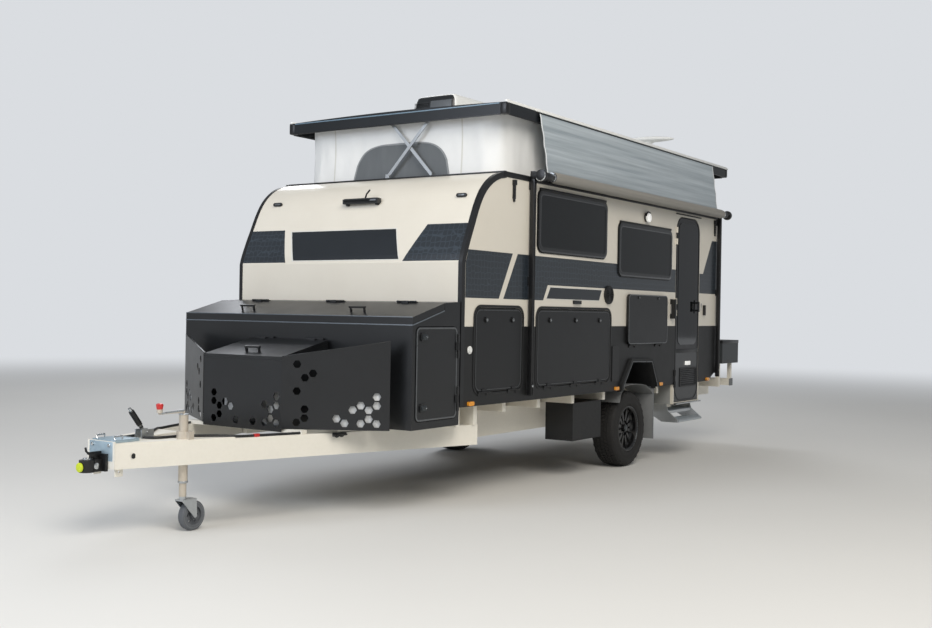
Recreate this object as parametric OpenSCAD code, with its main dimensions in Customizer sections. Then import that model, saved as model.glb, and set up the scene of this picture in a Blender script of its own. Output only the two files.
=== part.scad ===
/* [Body] */
// Length of the body behind the entry door
rear_len = 603; // [540:1:650]
// Width over the side walls
body_w = 2300; // [2260:10:2340]
// Height of the body's lower edge above the ground
body_z0 = 760; // [750:5:770]
// Height of the body's top edge above the ground
body_z1 = 2585; // [2570:5:2600]
// Thickness of the sandwich walls, floor and ceiling
wall_t = 30; // [25:1:35]
// Thickness of the dark lower cladding sheet
clad_t = 3; // [2:0.5:4]
// Height of the upper edge of the lower cladding
clad_z1 = 1365; // [1340:5:1400]
// Corner radius of windows and hatches
corner_r = 70; // [40:5:90]
// Gap all round doors and hatches
door_gap = 5; // [4:0.5:8]

/* [Roof lift] */
// Height of the raised roof's top above the ground
roof_z1 = 3160; // [3140:5:3180]
// Front edge of the roof
roof_x0 = 590; // [585:5:600]
// How far the roof runs out behind the body
roof_over = 165; // [130:5:190]
// Depth of the roof's skirt
roof_skirt = 110; // [90:5:130]
// Thickness of the roof panel
roof_t = 25; // [22:1:26]
// Thickness of the roof's skirt
skirt_t = 25; // [20:1:30]
// Rise of the roof's crown above its edges
roof_crown = 18; // [5:1:30]
// How far the roof comes down
roof_travel = 430; // [420:5:440]
// Front face of the canvas
canvas_x0 = 690; // [680:5:700]
// From the body's rear edge to the canvas
canvas_rear_in = 110; // [90:5:130]
// From the body's side to the canvas
canvas_side_in = 100; // [90:5:120]
// Corner radius of the canvas
canvas_r = 200; // [150:10:250]
// Thickness of the canvas wall solid
canvas_t = 8; // [6:1:10]
// Length between the end pins of a lift arm
arm_len = 646; // [642:1:647]
// Clearance between the lift arms' ends and the raised roof
arm_clear = 10.5; // [4:0.5:14]
// Width of a lift arm
arm_w = 28; // [24:1:30]
// Thickness of a lift arm
arm_t = 8; // [6:1:10]
// Offset of the lift mechanism from the middle, towards the entry side
arm_y = 160; // [140:5:180]

/* [Chassis] */
// Height of the chassis rails' underside
rail_z0 = 450; // [445:1:455]
// Depth of the chassis rails
rail_h = 155; // [150:1:158]
// Width of a chassis rail
rail_w = 50; // [45:1:55]
// From the side wall's outer face in to the main rails
rail_in = 350; // [345:5:360]
// Front end of the drawbar rails
nose_x = -2326; // [-2340:1:-2310]
// From the drawbar's front end out to the tow pin's axis
couple_out = 114; // [110:1:118]
// Outer face of the drawbar rails at their front end
nose_y = 130; // [125:1:135]
// Rear end of the drawbar rails
aframe_x1 = 340; // [330:5:350]
// From the side wall's outer face in to the drawbar rails at their rear end
aframe_in = 60; // [50:5:70]

/* [Running gear] */
// Wheel centre, behind the body's front edge
wheel_x = 3045; // [3035:5:3055]
// Outer radius of the tyre
tyre_r = 368; // [364:1:372]
// Width of the tyre
tyre_w = 245; // [235:1:250]
// From the side wall's outer face in to the middle of the tyre
wheel_in = 183; // [180:1:188]
// Radius of the rim's bead seat
rim_r = 203; // [200:1:206]
// Radius of the stub axle
stub_r = 20; // [18:0.5:22]
// Radius of the jockey wheel
jockey_r = 100; // [95:1:102]
// Jockey stand's tube, ahead of the body
jockey_x = -1848; // [-1860:1:-1840]
// From the drawbar rail's inner face to the middle of the jockey stand's tube
jockey_in = 33; // [33:1:38]
// Distance of the jockey wheel's axle behind its swivel
jockey_trail = 80; // [70:5:90]

/* [Openings] */
// Front edge of the entry door
door_x0 = 3950; // [3940:5:3960]
// Width of the entry door
door_w = 617; // [605:1:625]
// Bottom of the entry door
door_z0 = 578; // [570:1:590]
// Top of the entry door
door_z1 = 2500; // [2480:5:2510]
// Thickness of doors and hatches
leaf_t = 32; // [28:1:36]
// Front edge of the tunnel boot's hatches
boot_x0 = 190; // [180:5:200]
// Rear edge of the tunnel boot's hatches
boot_x1 = 880; // [870:5:890]
// Front edge of the kitchen hatch
kitchen_x0 = 1120; // [1110:5:1130]
// Rear edge of the kitchen hatch
kitchen_x1 = 2455; // [2440:5:2465]
// Bottom of the side hatches
hatch_z0 = 862; // [858:1:870]
// Top of the side hatches
hatch_z1 = 1507; // [1490:1:1520]
// Front edge of the fold-down table
table_x0 = 2790; // [2780:5:2800]
// Rear edge of the fold-down table
table_x1 = 3682; // [3670:5:3690]
// Bottom of the fold-down table
table_z0 = 1192; // [1185:1:1200]
// Top of the fold-down table
table_z1 = 1670; // [1660:1:1680]

/* [Rear end] */
// Length of the slanted cut under the body's rear end
cut_len = 320; // [280:10:340]
// Height of the slanted cut
cut_h = 145; // [120:5:160]

/* [Front boxes] */
// Front face of the toolbox
tool_x0 = -600; // [-610:5:-590]
// Underside of the toolbox
tool_z0 = 632; // [632:1:640]
// Height of the toolbox's front face
tool_z1 = 1433; // [1420:1:1440]
// Hinge line of the toolbox lid
tool_hinge_x = -211; // [-220:1:-205]
// Height of the toolbox at its hinge line
tool_hinge_z = 1538; // [1530:1:1545]
// Height of the toolbox against the body
tool_back_z = 1549; // [1546:1:1555]
// Sheet thickness of the toolbox
tool_t = 8; // [6:1:10]
// Front face of the gas box
gas_x0 = -1110; // [-1120:5:-1100]
// Half width of the gas box
gas_y = 390; // [380:5:400]
// Height of the gas box's front edge
gas_z1 = 1139; // [1130:1:1145]
// Height of the gas box's rear edge
gas_z2 = 1250; // [1240:1:1256]
// Outer end of a stone guard wing, along the trailer
wing_x = -700; // [-705:5:-695]
// From the side wall's outer face in to the outer end of a stone guard wing
wing_in = 115; // [105:5:125]
// Height of a stone guard wing at its outer end
wing_z = 1256; // [1250:1:1262]
// Thickness of the stone guard's plate
guard_t = 5; // [4:0.5:6]
// Hexagonal perforation, across corners
hex_d = 60; // [50:1:62]
// Pitch of the perforations in a column
hex_pitch = 63; // [62:0.5:64]

/* [Awning] */
// Radius of the awning's roller
roller_r = 48; // [42:1:52]
// From the side wall's outer face out to the roller's axis
roller_out = 118; // [112:1:125]
// Roller's axis above the ground
roller_z = 2592; // [2585:1:2600]
// From an awning arm to the end of the roller
roller_gap = 150; // [140:5:160]
// Front awning arm
awn_arm_x0 = 975; // [960:5:985]
// From the body's rear edge to the rear awning arm
awn_rear_in = 115; // [105:5:125]
// Thickness of the awning sheet solid
awn_sheet_t = 6; // [5:1:8]

/* [Hidden] */

half_w = body_w / 2;
// Clearance between pieces that would touch
eps = 0.3;
door_x1 = door_x0 + door_w;
body_len = door_x1 + rear_len;
roof_x1 = body_len + roof_over;
canvas_x1 = body_len - canvas_rear_in;
canvas_w = body_w - 2 * canvas_side_in;
rail_y = half_w - rail_in;
aframe_y1 = half_w - aframe_in;
wheel_y = half_w - wheel_in;
wing_y = half_w - wing_in;
roller_y = half_w + roller_out;
awn_arm_x1 = body_len - awn_rear_in;
roller_x0 = awn_arm_x0 + roller_gap;
roller_x1 = awn_arm_x1 - roller_gap;

// Front corner of the body in side view: [distance back, drop below the top]
rake = [[0, 735], [62, 565], [117, 445], [185, 297], [259, 180], [356, 90], [470, 29], [600, 0]];
// A smooth curve through the rows: the points before and after them set its end directions
rake_ends = concat([[0, 905]], rake, [[740, 0]]);
rake_steps = 3;
function curve_point(a, b, c, d, t) = 0.5 * (2 * b + (c - a) * t + (2 * a - 5 * b + 4 * c - d) * t * t
    + (3 * b - a - 3 * c + d) * t * t * t);
rake_curve = concat([for (i = [1:len(rake) - 1], k = [0:rake_steps - 1])
    curve_point(rake_ends[i - 1], rake_ends[i], rake_ends[i + 1], rake_ends[i + 2], k / rake_steps)],
    [rake[len(rake) - 1]]);
rake_x1 = rake[len(rake) - 1][0];

cream = [0.90, 0.89, 0.86];
graphite = [0.10, 0.11, 0.12];
satin_black = [0.06, 0.06, 0.065];
galvanised = [0.72, 0.73, 0.73];
steel = [0.55, 0.56, 0.57];
dark_glass = [0.05, 0.06, 0.08];
canvas_white = [0.86, 0.86, 0.83];
rubber = [0.07, 0.07, 0.07];
amber = [0.95, 0.60, 0.12];
lamp_red = [0.70, 0.05, 0.04];
white_paint = [0.93, 0.93, 0.91];

// Window openings of the two sides: [side, x0, x1, z0, z1], side -1 is the entry side
windows = [
    [-1, 1100, 2350, 1983, 2500], [-1, door_x0 - 1355, door_x0 - 135, 1835, 2342],
    [1, 1100, 2350, 1983, 2500], [1, body_len - 1870, body_len - 650, 1835, 2342]
];
// Rear window: [y0, y1, z0, z1]
rear_window = [-500, 500, 1880, 2340];
// How far the window pane overlaps its opening
pane_lap = 32;
pane_t = 12;

// The drawing frame has its zero at the body's front lower edge, in the middle.
// The finished part is centred over its own footprint.
module place() {
    x_mid = (couple_x - couple_r + carrier_x1 + rear_box_over) / 2;
    y_mid = (half_w + clad_t + arch_rim_out - roller_y - roller_r) / 2;
    translate([-x_mid, -y_mid, 0]) children();
}

// Extrudes a side-view shape (x, z) between two y values
module across(y0, y1) { translate([0, y1, 0]) rotate([90, 0, 0]) linear_extrude(y1 - y0) children(); }
// Extrudes a front-view shape (y, z) between two x values
module along(x0, x1) { translate([x0, 0, 0]) rotate([90, 0, 90]) linear_extrude(x1 - x0) children(); }
// Box from its lowest to its highest corner
module block(a, b) { translate(a) cube([b[0] - a[0], b[1] - a[1], b[2] - a[2]]); }
// Rectangle from corner to corner
module rect(x0, y0, x1, y1) { translate([x0, y0]) square([x1 - x0, y1 - y0]); }
// Rectangle with round corners
module round_rect(x0, y0, x1, y1, r) {
    rect(x0 + r, y0, x1 - r, y1);
    rect(x0, y0 + r, x1, y1 - r);
    for (x = [x0 + r, x1 - r], y = [y0 + r, y1 - r]) translate([x, y]) circle(r = r, $fn = 48);
}
// Copies a piece to the other side
module both_sides() { children(); mirror([0, 1, 0]) children(); }

// Row of hinge knuckles about the x axis: fixed ones, or the moving ones between them
knuckle_r = 7;
knuckle_l = 60;
module knuckle(fixed) {
    l = knuckle_l;
    if (fixed) for (s = [-1, 1]) translate([s * l, 0, 0]) rotate([0, 90, 0])
        cylinder(r = knuckle_r, h = l - 2 * eps, center = true, $fn = 32);
    else rotate([0, 90, 0]) cylinder(r = knuckle_r, h = l, center = true, $fn = 32);
}
// Bottom hinge of a flap on the entry side: axis [y, z], plates of the given reach
module flap_hinge(xs, y, z, fixed, plate, reach) {
    l = knuckle_l / 2 - eps;
    for (x = xs) translate([x, y, z]) {
        knuckle(fixed);
        if (fixed) for (s = [-1, 1]) block([s * knuckle_l - l, 0, -reach], [s * knuckle_l + l, plate, 0]);
        else block([-l, 0, 0], [l, plate, reach]);
    }
}
// Upright hinge: axis [x, y], fixed plates towards fx, moving plate the other way
module upright_hinge(zs, x, y, fixed, plate, fx, reach) {
    l = knuckle_l / 2 - eps;
    for (z = zs) translate([x, y, z]) rotate([0, -90, 0]) {
        knuckle(fixed);
        a = fixed ? -fx * reach : fx * reach;
        for (s = fixed ? [-1, 1] : [0])
            block([s * knuckle_l - l, 0, min(a, 0)], [s * knuckle_l + l, plate, max(a, 0)]);
    }
}
// Hinge of a lid that opens upwards: plates as rows of [x0, x1, z0, z1] about the pin
module lid_hinge(ys, pin, fixed, plates) {
    l = knuckle_l / 2 - eps;
    for (y = ys) translate([pin[0], y, pin[1]]) {
        rotate([0, 0, 90]) knuckle(fixed);
        for (s = fixed ? [-1, 1] : [0], p = plates)
            block([p[0], s * knuckle_l - l, p[2]], [p[1], s * knuckle_l + l, p[3]]);
    }
}

// Body outline in side view, moved inwards by d along the front
function rake_point(i, d) = let (
    p = rake_curve[i], a = rake_curve[max(i - 1, 0)], b = rake_curve[min(i + 1, len(rake_curve) - 1)],
    t = [b[0] - a[0], a[1] - b[1]], n = norm(t)
) [p[0] + d * t[1] / n, body_z1 - p[1] - d * t[0] / n];
function front_line(d) = [for (i = [0:len(rake_curve) - 1]) rake_point(i, d)];

module body_outline() {
    polygon(concat([[0, body_z0]], front_line(0),
        [[body_len, body_z1], [body_len, body_z0 + cut_h], [body_len - cut_len, body_z0]]));
}

// Wheel arch in side view: [distance behind the wheel's centre, z]
arch_rows = [[-334, 700], [-334, 799], [-148, 1021], [282, 1009], [434, 745], [434, 700]];
arch = [for (p = arch_rows) [wheel_x + p[0], p[1]]];
arch_box_t = 10;
arch_box_y = half_w - 325;
module arch_shape() { polygon(arch); }

door_pin_x = door_x0 - 2;
door_pin_out = clad_t + 8;
door_hinge_z = [820, 1560, 2300];
sill_t = 22;
jamb = 30;
well_y = half_w - 320;
door_r = 150;
// Round at the top, square at the bottom
module door_shape(g) {
    round_rect(door_x0 - g, door_z0 - g, door_x1 + g, door_z1 + g, door_r + g);
    rect(door_x0 - g, door_z0 - g, door_x1 + g, door_z0 + 2 * door_r);
}
module hatch_shape(x0, x1, g) { round_rect(x0 - g, hatch_z0 - g, x1 + g, hatch_z1 + g, corner_r + g); }
module window_cuts(side, lap) {
    for (w = windows) if (w[0] == side)
        round_rect(w[1] + lap, w[3] + lap, w[2] - lap, w[4] - lap, corner_r);
}
module side_cuts(side) {
    arch_shape();
    hatch_shape(boot_x0, boot_x1, door_gap);
    window_cuts(side, pane_lap);
    if (side < 0) {
        hatch_shape(kitchen_x0, kitchen_x1, door_gap);
        door_shape(door_gap);
    }
}
module side_wall(side) {
    y0 = side < 0 ? -half_w : half_w - wall_t;
    across(y0, y0 + wall_t) difference() {
        union() {
            body_outline();
            if (side < 0) rect(door_x0 - jamb, door_z0 - sill_t, door_x1 + jamb, body_z0 + 1);
        }
        side_cuts(side);
    }
}
module wall_left() {
    color(cream) side_wall(-1);
    color(steel) upright_hinge([door_hinge_z[1], door_hinge_z[2]], door_pin_x, -half_w - door_pin_out,
        true, door_pin_out, -1, 26);
}
module wall_right() { color(cream) side_wall(1); }

module wall_front() {
    inner = front_line(wall_t);
    color(cream) across(-half_w + wall_t, half_w - wall_t)
        polygon(concat([[0, body_z0 + wall_t]], front_line(0), [[rake_x1, body_z1 - wall_t]],
            [for (i = [len(inner) - 2:-1:0]) inner[i]], [[wall_t, body_z0 + wall_t]]));
}

module wall_rear() {
    w = rear_window;
    color(cream) along(body_len - wall_t, body_len) difference() {
        rect(-half_w + wall_t, cut_top_z, half_w - wall_t, body_z1);
        round_rect(w[0] + pane_lap, w[2] + pane_lap, w[1] - pane_lap, w[3] - pane_lap, corner_r);
    }
}

// Ceiling frame round the pop-top's opening
module body_top() {
    x0 = canvas_x0 + 50;
    x1 = canvas_x1 - 50;
    y1 = canvas_w / 2 - 60;
    color(cream) translate([0, 0, body_z1 - wall_t]) linear_extrude(wall_t) difference() {
        rect(rake_x1, -half_w + wall_t, body_len - wall_t, half_w - wall_t);
        round_rect(x0, -y1, x1, y1, canvas_r - 50);
    }
}

// The floor bends up over the cut at the rear
cut_angle = atan(cut_h / cut_len);
cut_top_z = body_z0 + cut_h + wall_t / cos(cut_angle);
module floor_profile() {
    polygon([[0, body_z0], [body_len - cut_len, body_z0], [body_len, body_z0 + cut_h], [body_len, cut_top_z],
        [body_len - wall_t, cut_top_z], [body_len - wall_t, cut_top_z - wall_t * tan(cut_angle)],
        [body_len - cut_len - wall_t * tan(cut_angle / 2), body_z0 + wall_t], [0, body_z0 + wall_t]]);
}
module cabin_floor() {
    y1 = half_w - wall_t;
    z1 = body_z0 + wall_t + 1;
    color("burlywood") difference() {
        across(-y1, y1) floor_profile();
        for (s = [-1, 1]) translate([(arch[0][0] + arch[4][0]) / 2, s * (y1 + 1 + arch_box_y) / 2, body_z0])
            cube([arch[4][0] - arch[0][0] + 2 * arch_box_t, y1 + 1 - arch_box_y, 3 * wall_t], center = true);
        block([door_x0 - jamb, -y1 - 1, body_z0 - 1], [door_x1 + jamb, -well_y, z1]);
    }
    color(graphite) step_well();
}
// Tray under the entry door
module step_well() {
    x0 = door_x0 - jamb;
    x1 = door_x1 + jamb;
    z0 = door_z0 - sill_t;
    y0 = -half_w + wall_t;
    difference() {
        block([x0, y0, z0], [x1, -well_y, body_z0 + wall_t]);
        block([x0 + 15, y0 - 1, z0 + 15], [x1 - 15, -well_y - 15, body_z0 + wall_t + 1]);
    }
}

// Inverted boxes over the tyres
module wheel_boxes() {
    y1 = half_w - wall_t;
    color(graphite) both_sides() difference() {
        across(arch_box_y, y1) offset_arch(arch_box_t);
        across(arch_box_y + arch_box_t, y1 + 1) arch_inner();
    }
}
module offset_arch(d) {
    polygon([[arch[1][0] - d, body_z0], [arch[1][0] - d, arch[1][1] + d / 2],
        [arch[2][0] - d / 2, arch[2][1] + d], [arch[3][0] + d / 2, arch[3][1] + d],
        [arch[4][0] + d, body_z0 + d], [arch[4][0] + d, body_z0]]);
}
module arch_inner() {
    polygon([[arch[0][0], body_z0 - 10], arch[1], arch[2], arch[3], [arch[4][0], body_z0], [arch[4][0], body_z0 - 10]]);
}

// Thin dark panels over the lower walls
module lower_cladding() {
    color(graphite) {
        for (s = [-1, 1]) {
            y0 = s < 0 ? -half_w - clad_t : half_w;
            across(y0, y0 + clad_t) difference() {
                intersection() {
                    body_outline();
                    rect(0, body_z0, body_len, clad_z1);
                }
                side_cuts(s);
            }
        }
        along(body_len, body_len + clad_t) rect(-half_w, body_z0 + cut_h, half_w, clad_z1);
    }
    hatch_hinge(boot_hinge_x, true);
    mirror([0, 1, 0]) hatch_hinge(boot_hinge_x, true);
    hatch_hinge(kitchen_hinge_x, true);
    color(steel) {
        flap_hinge(table_hinge_x, -half_w - hatch_pin_out, table_pin_z, true, 8, 24);
        upright_hinge([door_hinge_z[0]], door_pin_x, -half_w - door_pin_out, true, door_pin_out - clad_t, -1, 26);
    }
}

// Tunnel boot right through the body and the kitchen bay behind its hatch
liner_t = 10;
module liner(x0, x1, y0, y1) {
    z0 = hatch_z0 - door_gap - liner_t;
    z1 = hatch_z1 + door_gap + liner_t;
    along_x0 = x0 - door_gap - liner_t;
    along_x1 = x1 + door_gap + liner_t;
    across(y0, y1) difference() {
        rect(along_x0, z0, along_x1, z1);
        rect(along_x0 + liner_t, z0 + liner_t, along_x1 - liner_t, z1 - liner_t);
    }
}
kitchen_depth = 500;
module locker_liners() {
    y0 = -half_w + wall_t;
    color(graphite) {
        liner(boot_x0, boot_x1, y0, -y0);
        liner(kitchen_x0, kitchen_x1, y0, y0 + kitchen_depth);
        block([kitchen_x0 - door_gap, y0 + kitchen_depth - liner_t, hatch_z0 - door_gap],
            [kitchen_x1 + door_gap, y0 + kitchen_depth, hatch_z1 + door_gap]);
    }
}

frame_lap = 14;
// Dark rings that line the window openings
module window_frames() {
    color(satin_black) {
        for (w = windows) {
            y0 = w[0] < 0 ? -half_w : half_w - wall_t;
            across(y0, y0 + wall_t) difference() {
                round_rect(w[1] + pane_lap, w[3] + pane_lap, w[2] - pane_lap, w[4] - pane_lap, corner_r);
                round_rect(w[1] + pane_lap + frame_lap, w[3] + pane_lap + frame_lap,
                    w[2] - pane_lap - frame_lap, w[4] - pane_lap - frame_lap, corner_r - frame_lap);
            }
        }
        w = rear_window;
        lap = pane_lap + frame_lap;
        along(body_len - wall_t, body_len) difference() {
            round_rect(w[0] + pane_lap, w[2] + pane_lap, w[1] - pane_lap, w[3] - pane_lap, corner_r);
            round_rect(w[0] + lap, w[2] + lap, w[1] - lap, w[3] - lap, corner_r - frame_lap);
        }
    }
}
// Acrylic panes on the outside of the walls
module window_glass() {
    color(dark_glass) {
        for (w = windows) {
            y0 = w[0] < 0 ? -half_w - pane_t : half_w;
            across(y0, y0 + pane_t) round_rect(w[1], w[3], w[2], w[4], corner_r);
        }
        w = rear_window;
        along(body_len, body_len + pane_t) round_rect(w[0], w[2], w[1], w[3], corner_r);
    }
}

// Entry door with its window opening
door_pane_z0 = 1110;
door_rim = 70;
door_pane_t = 4;
module door_pane(g) {
    round_rect(door_x0 + door_rim - g, door_pane_z0 + door_rim - g,
        door_x1 - door_rim + g, door_z1 - door_rim + g, 90);
}
module entry_door() {
    y0 = -half_w;
    color(graphite) {
        across(y0, y0 + leaf_t) difference() {
            door_shape(0);
            door_pane(0);
        }
    }
    door_hinges();
    color(satin_black) {
        // Pull handle and its plate
        block([door_x1 - 130, y0 - 12, 1500], [door_x1 - 60, y0 - door_pane_t, 1640]);
        block([door_x1 - 120, y0 - 40, 1520], [door_x1 - 100, y0 - 12, 1540]);
        block([door_x1 - 120, y0 - 40, 1600], [door_x1 - 100, y0 - 12, 1620]);
        block([door_x1 - 125, y0 - 52, 1515], [door_x1 - 95, y0 - 40, 1625]);
    }
}
module door_hinges() {
    color(steel) upright_hinge(door_hinge_z, door_pin_x, -half_w - door_pin_out, false, door_pin_out, -1, 26);
}
module door_glass() {
    y0 = -half_w;
    color(dark_glass) across(y0 - door_pane_t, y0) door_pane(12);
}

// Side hatches hinged along their lower edges
hatch_pin_out = clad_t + 8;
hatch_pin_z = hatch_z0 - 2;
boot_hinge_x = [boot_x0 + 130, boot_x1 - 130];
kitchen_hinge_x = [kitchen_x0 + 200, (kitchen_x0 + kitchen_x1) / 2, kitchen_x1 - 200];
module hatch_hinge(xs, fixed) {
    color(steel) flap_hinge(xs, -half_w - hatch_pin_out, hatch_pin_z, fixed, hatch_pin_out - clad_t, 25);
}
module hatch_leaf(x0, x1, side, locks) {
    y0 = side < 0 ? -half_w - clad_t : half_w + clad_t - leaf_t;
    ya = side < 0 ? y0 - 10 : half_w + clad_t;
    color(graphite) across(y0, y0 + leaf_t) hatch_shape(x0, x1, 0);
    color(satin_black) for (i = [0:locks - 1]) {
        x = x0 + (x1 - x0) * (locks == 2 ? 0.22 + 0.56 * i : 0.16 + 0.34 * i);
        translate([x, ya + 10, hatch_z1 - 90]) rotate([90, 0, 0]) cylinder(r = 22, h = 10, $fn = 32);
    }
}
module boot_hatch_left() {
    hatch_leaf(boot_x0, boot_x1, -1, 2);
    hatch_hinge(boot_hinge_x, false);
}
module boot_hatch_right() { mirror([0, 1, 0]) boot_hatch_left(); }
module kitchen_hatch() {
    hatch_leaf(kitchen_x0, kitchen_x1, -1, 3);
    hatch_hinge(kitchen_hinge_x, false);
}

table_t = 24;
table_gap = 4;
table_pin_z = table_z0 - 8;
table_hinge_x = [table_x0 + 150, table_x1 - 150];
module picnic_table() {
    y1 = -half_w - clad_t - table_gap;
    color(satin_black) across(y1 - table_t, y1) round_rect(table_x0, table_z0, table_x1, table_z1, 45);
    color(steel) flap_hinge(table_hinge_x, -half_w - hatch_pin_out, table_pin_z, false, 8 - table_gap, 16);
}

// Drawbar line: outer face of an A-frame rail at x
aframe_slope = (aframe_y1 - nose_y) / (aframe_x1 - nose_x);
aframe_angle = atan(aframe_slope);
function aframe_y(x) = nose_y + aframe_slope * (x - nose_x);
rail_z1 = rail_z0 + rail_h;
riser_z1 = 680;
module aframe_rail() {
    w = rail_w / cos(aframe_angle);
    translate([0, 0, rail_z0]) linear_extrude(rail_h) polygon([
        [nose_x, nose_y - w], [nose_x, nose_y], [aframe_x1, aframe_y1], [aframe_x1, aframe_y1 - w]]);
}
main_x0 = -290;
deck_t = 8;
deck_in = 6;
deck_x1 = -1560;
deck_notch = 130;
nose_t = 8;
brake_x = -1990;
// Front edges of the bearers under the front boxes
bearer_x = [-1090, -860, -560, -120];
bearer_w = 50;
chain_z = rail_z0 - 20;
jockey_outer_r = 30;
jockey_y = aframe_y(jockey_x) - rail_w / cos(aframe_angle) - jockey_in;
cross_rows = [700, 1250, 1850, 2450, 3640, body_len - cut_len - 150];
// Main rails, raised behind the drawbar
module chassis() {
    color(galvanised) both_sides() {
        block([main_x0, rail_y - rail_w, rail_z0], [body_len - 20, rail_y, rail_z1]);
        block([aframe_x1, rail_y - rail_w, rail_z1], [body_len - 20, rail_y, riser_z1]);
    }
}
// Two deep cross-members stand on the drawbar, the others on the raised rails under the floor
cross_t = 50;
cross_y = half_w - 60;
module cross_members() {
    color(galvanised) {
        for (x = [40, 280]) block([x, -cross_y, rail_z1], [x + cross_t, cross_y, body_z0]);
        block([main_x0, -rail_y + rail_w, rail_z0 + 40], [main_x0 + cross_t, rail_y - rail_w, rail_z1 - 10]);
        for (x = cross_rows) block([x, -cross_y, riser_z1], [x + cross_t, cross_y, body_z0]);
    }
}
// A-shaped drawbar in front, with the bearers
module drawbar() {
    color(galvanised) {
        both_sides() aframe_rail();
        // Nose plate and deck between the rails
        block([nose_x - nose_t, -nose_y, rail_z0], [nose_x, nose_y, rail_z1 + 20]);
        translate([0, 0, rail_z1]) linear_extrude(deck_t) difference() {
            polygon([
                [nose_x, deck_in - nose_y], [nose_x, nose_y - deck_in], [deck_x1, aframe_y(deck_x1) - deck_in],
                [deck_x1, deck_notch], [brake_x - 10, 60], [brake_x - 10, -60], [deck_x1, -deck_notch],
                [deck_x1, deck_in - aframe_y(deck_x1)]]);
            translate([jockey_x, -jockey_y]) circle(r = jockey_outer_r + 0.3, $fn = 48);
        }
        for (x = bearer_x) {
            y = min(aframe_y(x) - deck_in, half_w - 40);
            block([x, -y, rail_z1], [x + bearer_w, y, tool_z0]);
        }
    }
}
// Plates under the nose with an eye for a safety chain each
eye_x = nose_x + 46;
module chain_plates() {
    color(galvanised) both_sides() difference() {
        block([eye_x - 30, nose_y - 30, rail_z0 - 50], [eye_x + 30, nose_y - 20, rail_z0]);
        translate([eye_x, nose_y - 19, chain_z]) rotate([90, 0, 0]) cylinder(r = 9, h = 12, $fn = 48);
    }
}

// Off-road coupling: yoke, body with a bore for the tow pin, and latch
pin_r = 17.5;
couple_x = nose_x - couple_out;
couple_r = 48;
couple_half = 38;
couple_z0 = 436;
couple_h = 76;
couple_plate_h = 110;
module coupling() {
    z1 = couple_z0 + couple_h;
    z2 = couple_z0 + couple_plate_h;
    color(satin_black) difference() {
        union() {
            block([couple_x - 10, -couple_half, couple_z0], [nose_x - nose_t, couple_half, z1]);
            translate([couple_x, 0, couple_z0]) cylinder(r = couple_r, h = couple_h, $fn = 64);
            block([nose_x - nose_t - 20, -70, couple_z0], [nose_x - nose_t, 70, z2]);
        }
        translate([couple_x, 0, couple_z0 - 1]) cylinder(r = pin_r, h = couple_h + 2, $fn = 64);
    }
    color(steel) {
        translate([(couple_x + nose_x) / 2 + 5, 0, z1]) cylinder(r = 16, h = z2 - z1, $fn = 6);
        block([couple_x + 4, -6, z2], [nose_x - nose_t - 2, 6, z2 + 14]);
    }
}

// Parking brake lever between the cheeks of its bracket
brake_lean = 38;
brake_half = 50;
cheek_t = 8;
cheek_y = 26;
lever_l = 60;
grip_l = 120;
module handbrake() {
    z0 = rail_z1 + deck_t;
    z1 = z0 + 40;
    color(steel) {
        for (y = [-cheek_y - cheek_t, cheek_y])
            block([brake_x - brake_half, y, z0], [brake_x + brake_half, y + cheek_t, z0 + 60]);
        translate([brake_x, 40, z1]) rotate([90, 0, 0]) cylinder(r = 8, h = 80, $fn = 32);
    }
    color(satin_black) translate([brake_x, 0, z1]) rotate([0, -brake_lean, 0]) {
        translate([-6, -12, 0]) cube([12, 24, lever_l]);
        translate([0, 0, lever_l]) cylinder(r = 17, h = grip_l, $fn = 32);
        translate([0, 0, lever_l + grip_l]) cylinder(r = 10, h = 18, $fn = 32);
    }
}

// Jockey stand: outer tube in its clamp, inner tube, crank
jockey_inner_r = 24;
jockey_z0 = 328;
jockey_z1 = 770;
jockey_foot = 214;
module jockey_leg() {
    color(galvanised) translate([jockey_x, -jockey_y, 0]) {
        difference() {
            union() {
                translate([0, 0, jockey_z0]) cylinder(r = jockey_outer_r, h = jockey_z1 - jockey_z0, $fn = 48);
                translate([0, 0, rail_z1 + 8]) cylinder(r = 46, h = 50, $fn = 48);
                translate([-20, -aframe_y(jockey_x) + jockey_y + 8, rail_z1 + 8]) cube([40, 60, 50]);
            }
            translate([0, 0, jockey_z0 - 1]) cylinder(r = jockey_inner_r + 0.5, h = 300, $fn = 48);
        }
        translate([0, 0, jockey_foot + 20]) cylinder(r = jockey_inner_r, h = 300, $fn = 48);
        // Crank arm and its upright
        translate([0, 0, jockey_z1]) cylinder(r = 9, h = 26, $fn = 32);
        translate([-210, -6, jockey_z1 + 14]) cube([216, 12, 12]);
        translate([-204, 0, jockey_z1 + 26]) cylinder(r = 5, h = 18, $fn = 32);
    }
    color(lamp_red) translate([jockey_x - 204, -jockey_y, jockey_z1 + 26]) cylinder(r = 19, h = 50, $fn = 32);
}
module jockey_fork() {
    color(galvanised) translate([jockey_x, -jockey_y, 0]) {
        translate([0, 0, jockey_foot]) cylinder(r = jockey_inner_r, h = 19.7, $fn = 48);
        translate([-30, -38, jockey_foot - 10]) cube([jockey_trail + 40, 76, 10]);
        for (y = [-38, 32]) hull() {
            translate([-30, y, jockey_foot - 12]) cube([jockey_trail + 40, 6, 2]);
            translate([jockey_trail, y + 6, jockey_r]) rotate([90, 0, 0]) cylinder(r = 14, h = 6, $fn = 32);
        }
        translate([jockey_trail, 38, jockey_r]) rotate([90, 0, 0]) cylinder(r = 8, h = 76, $fn = 48);
    }
}
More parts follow.
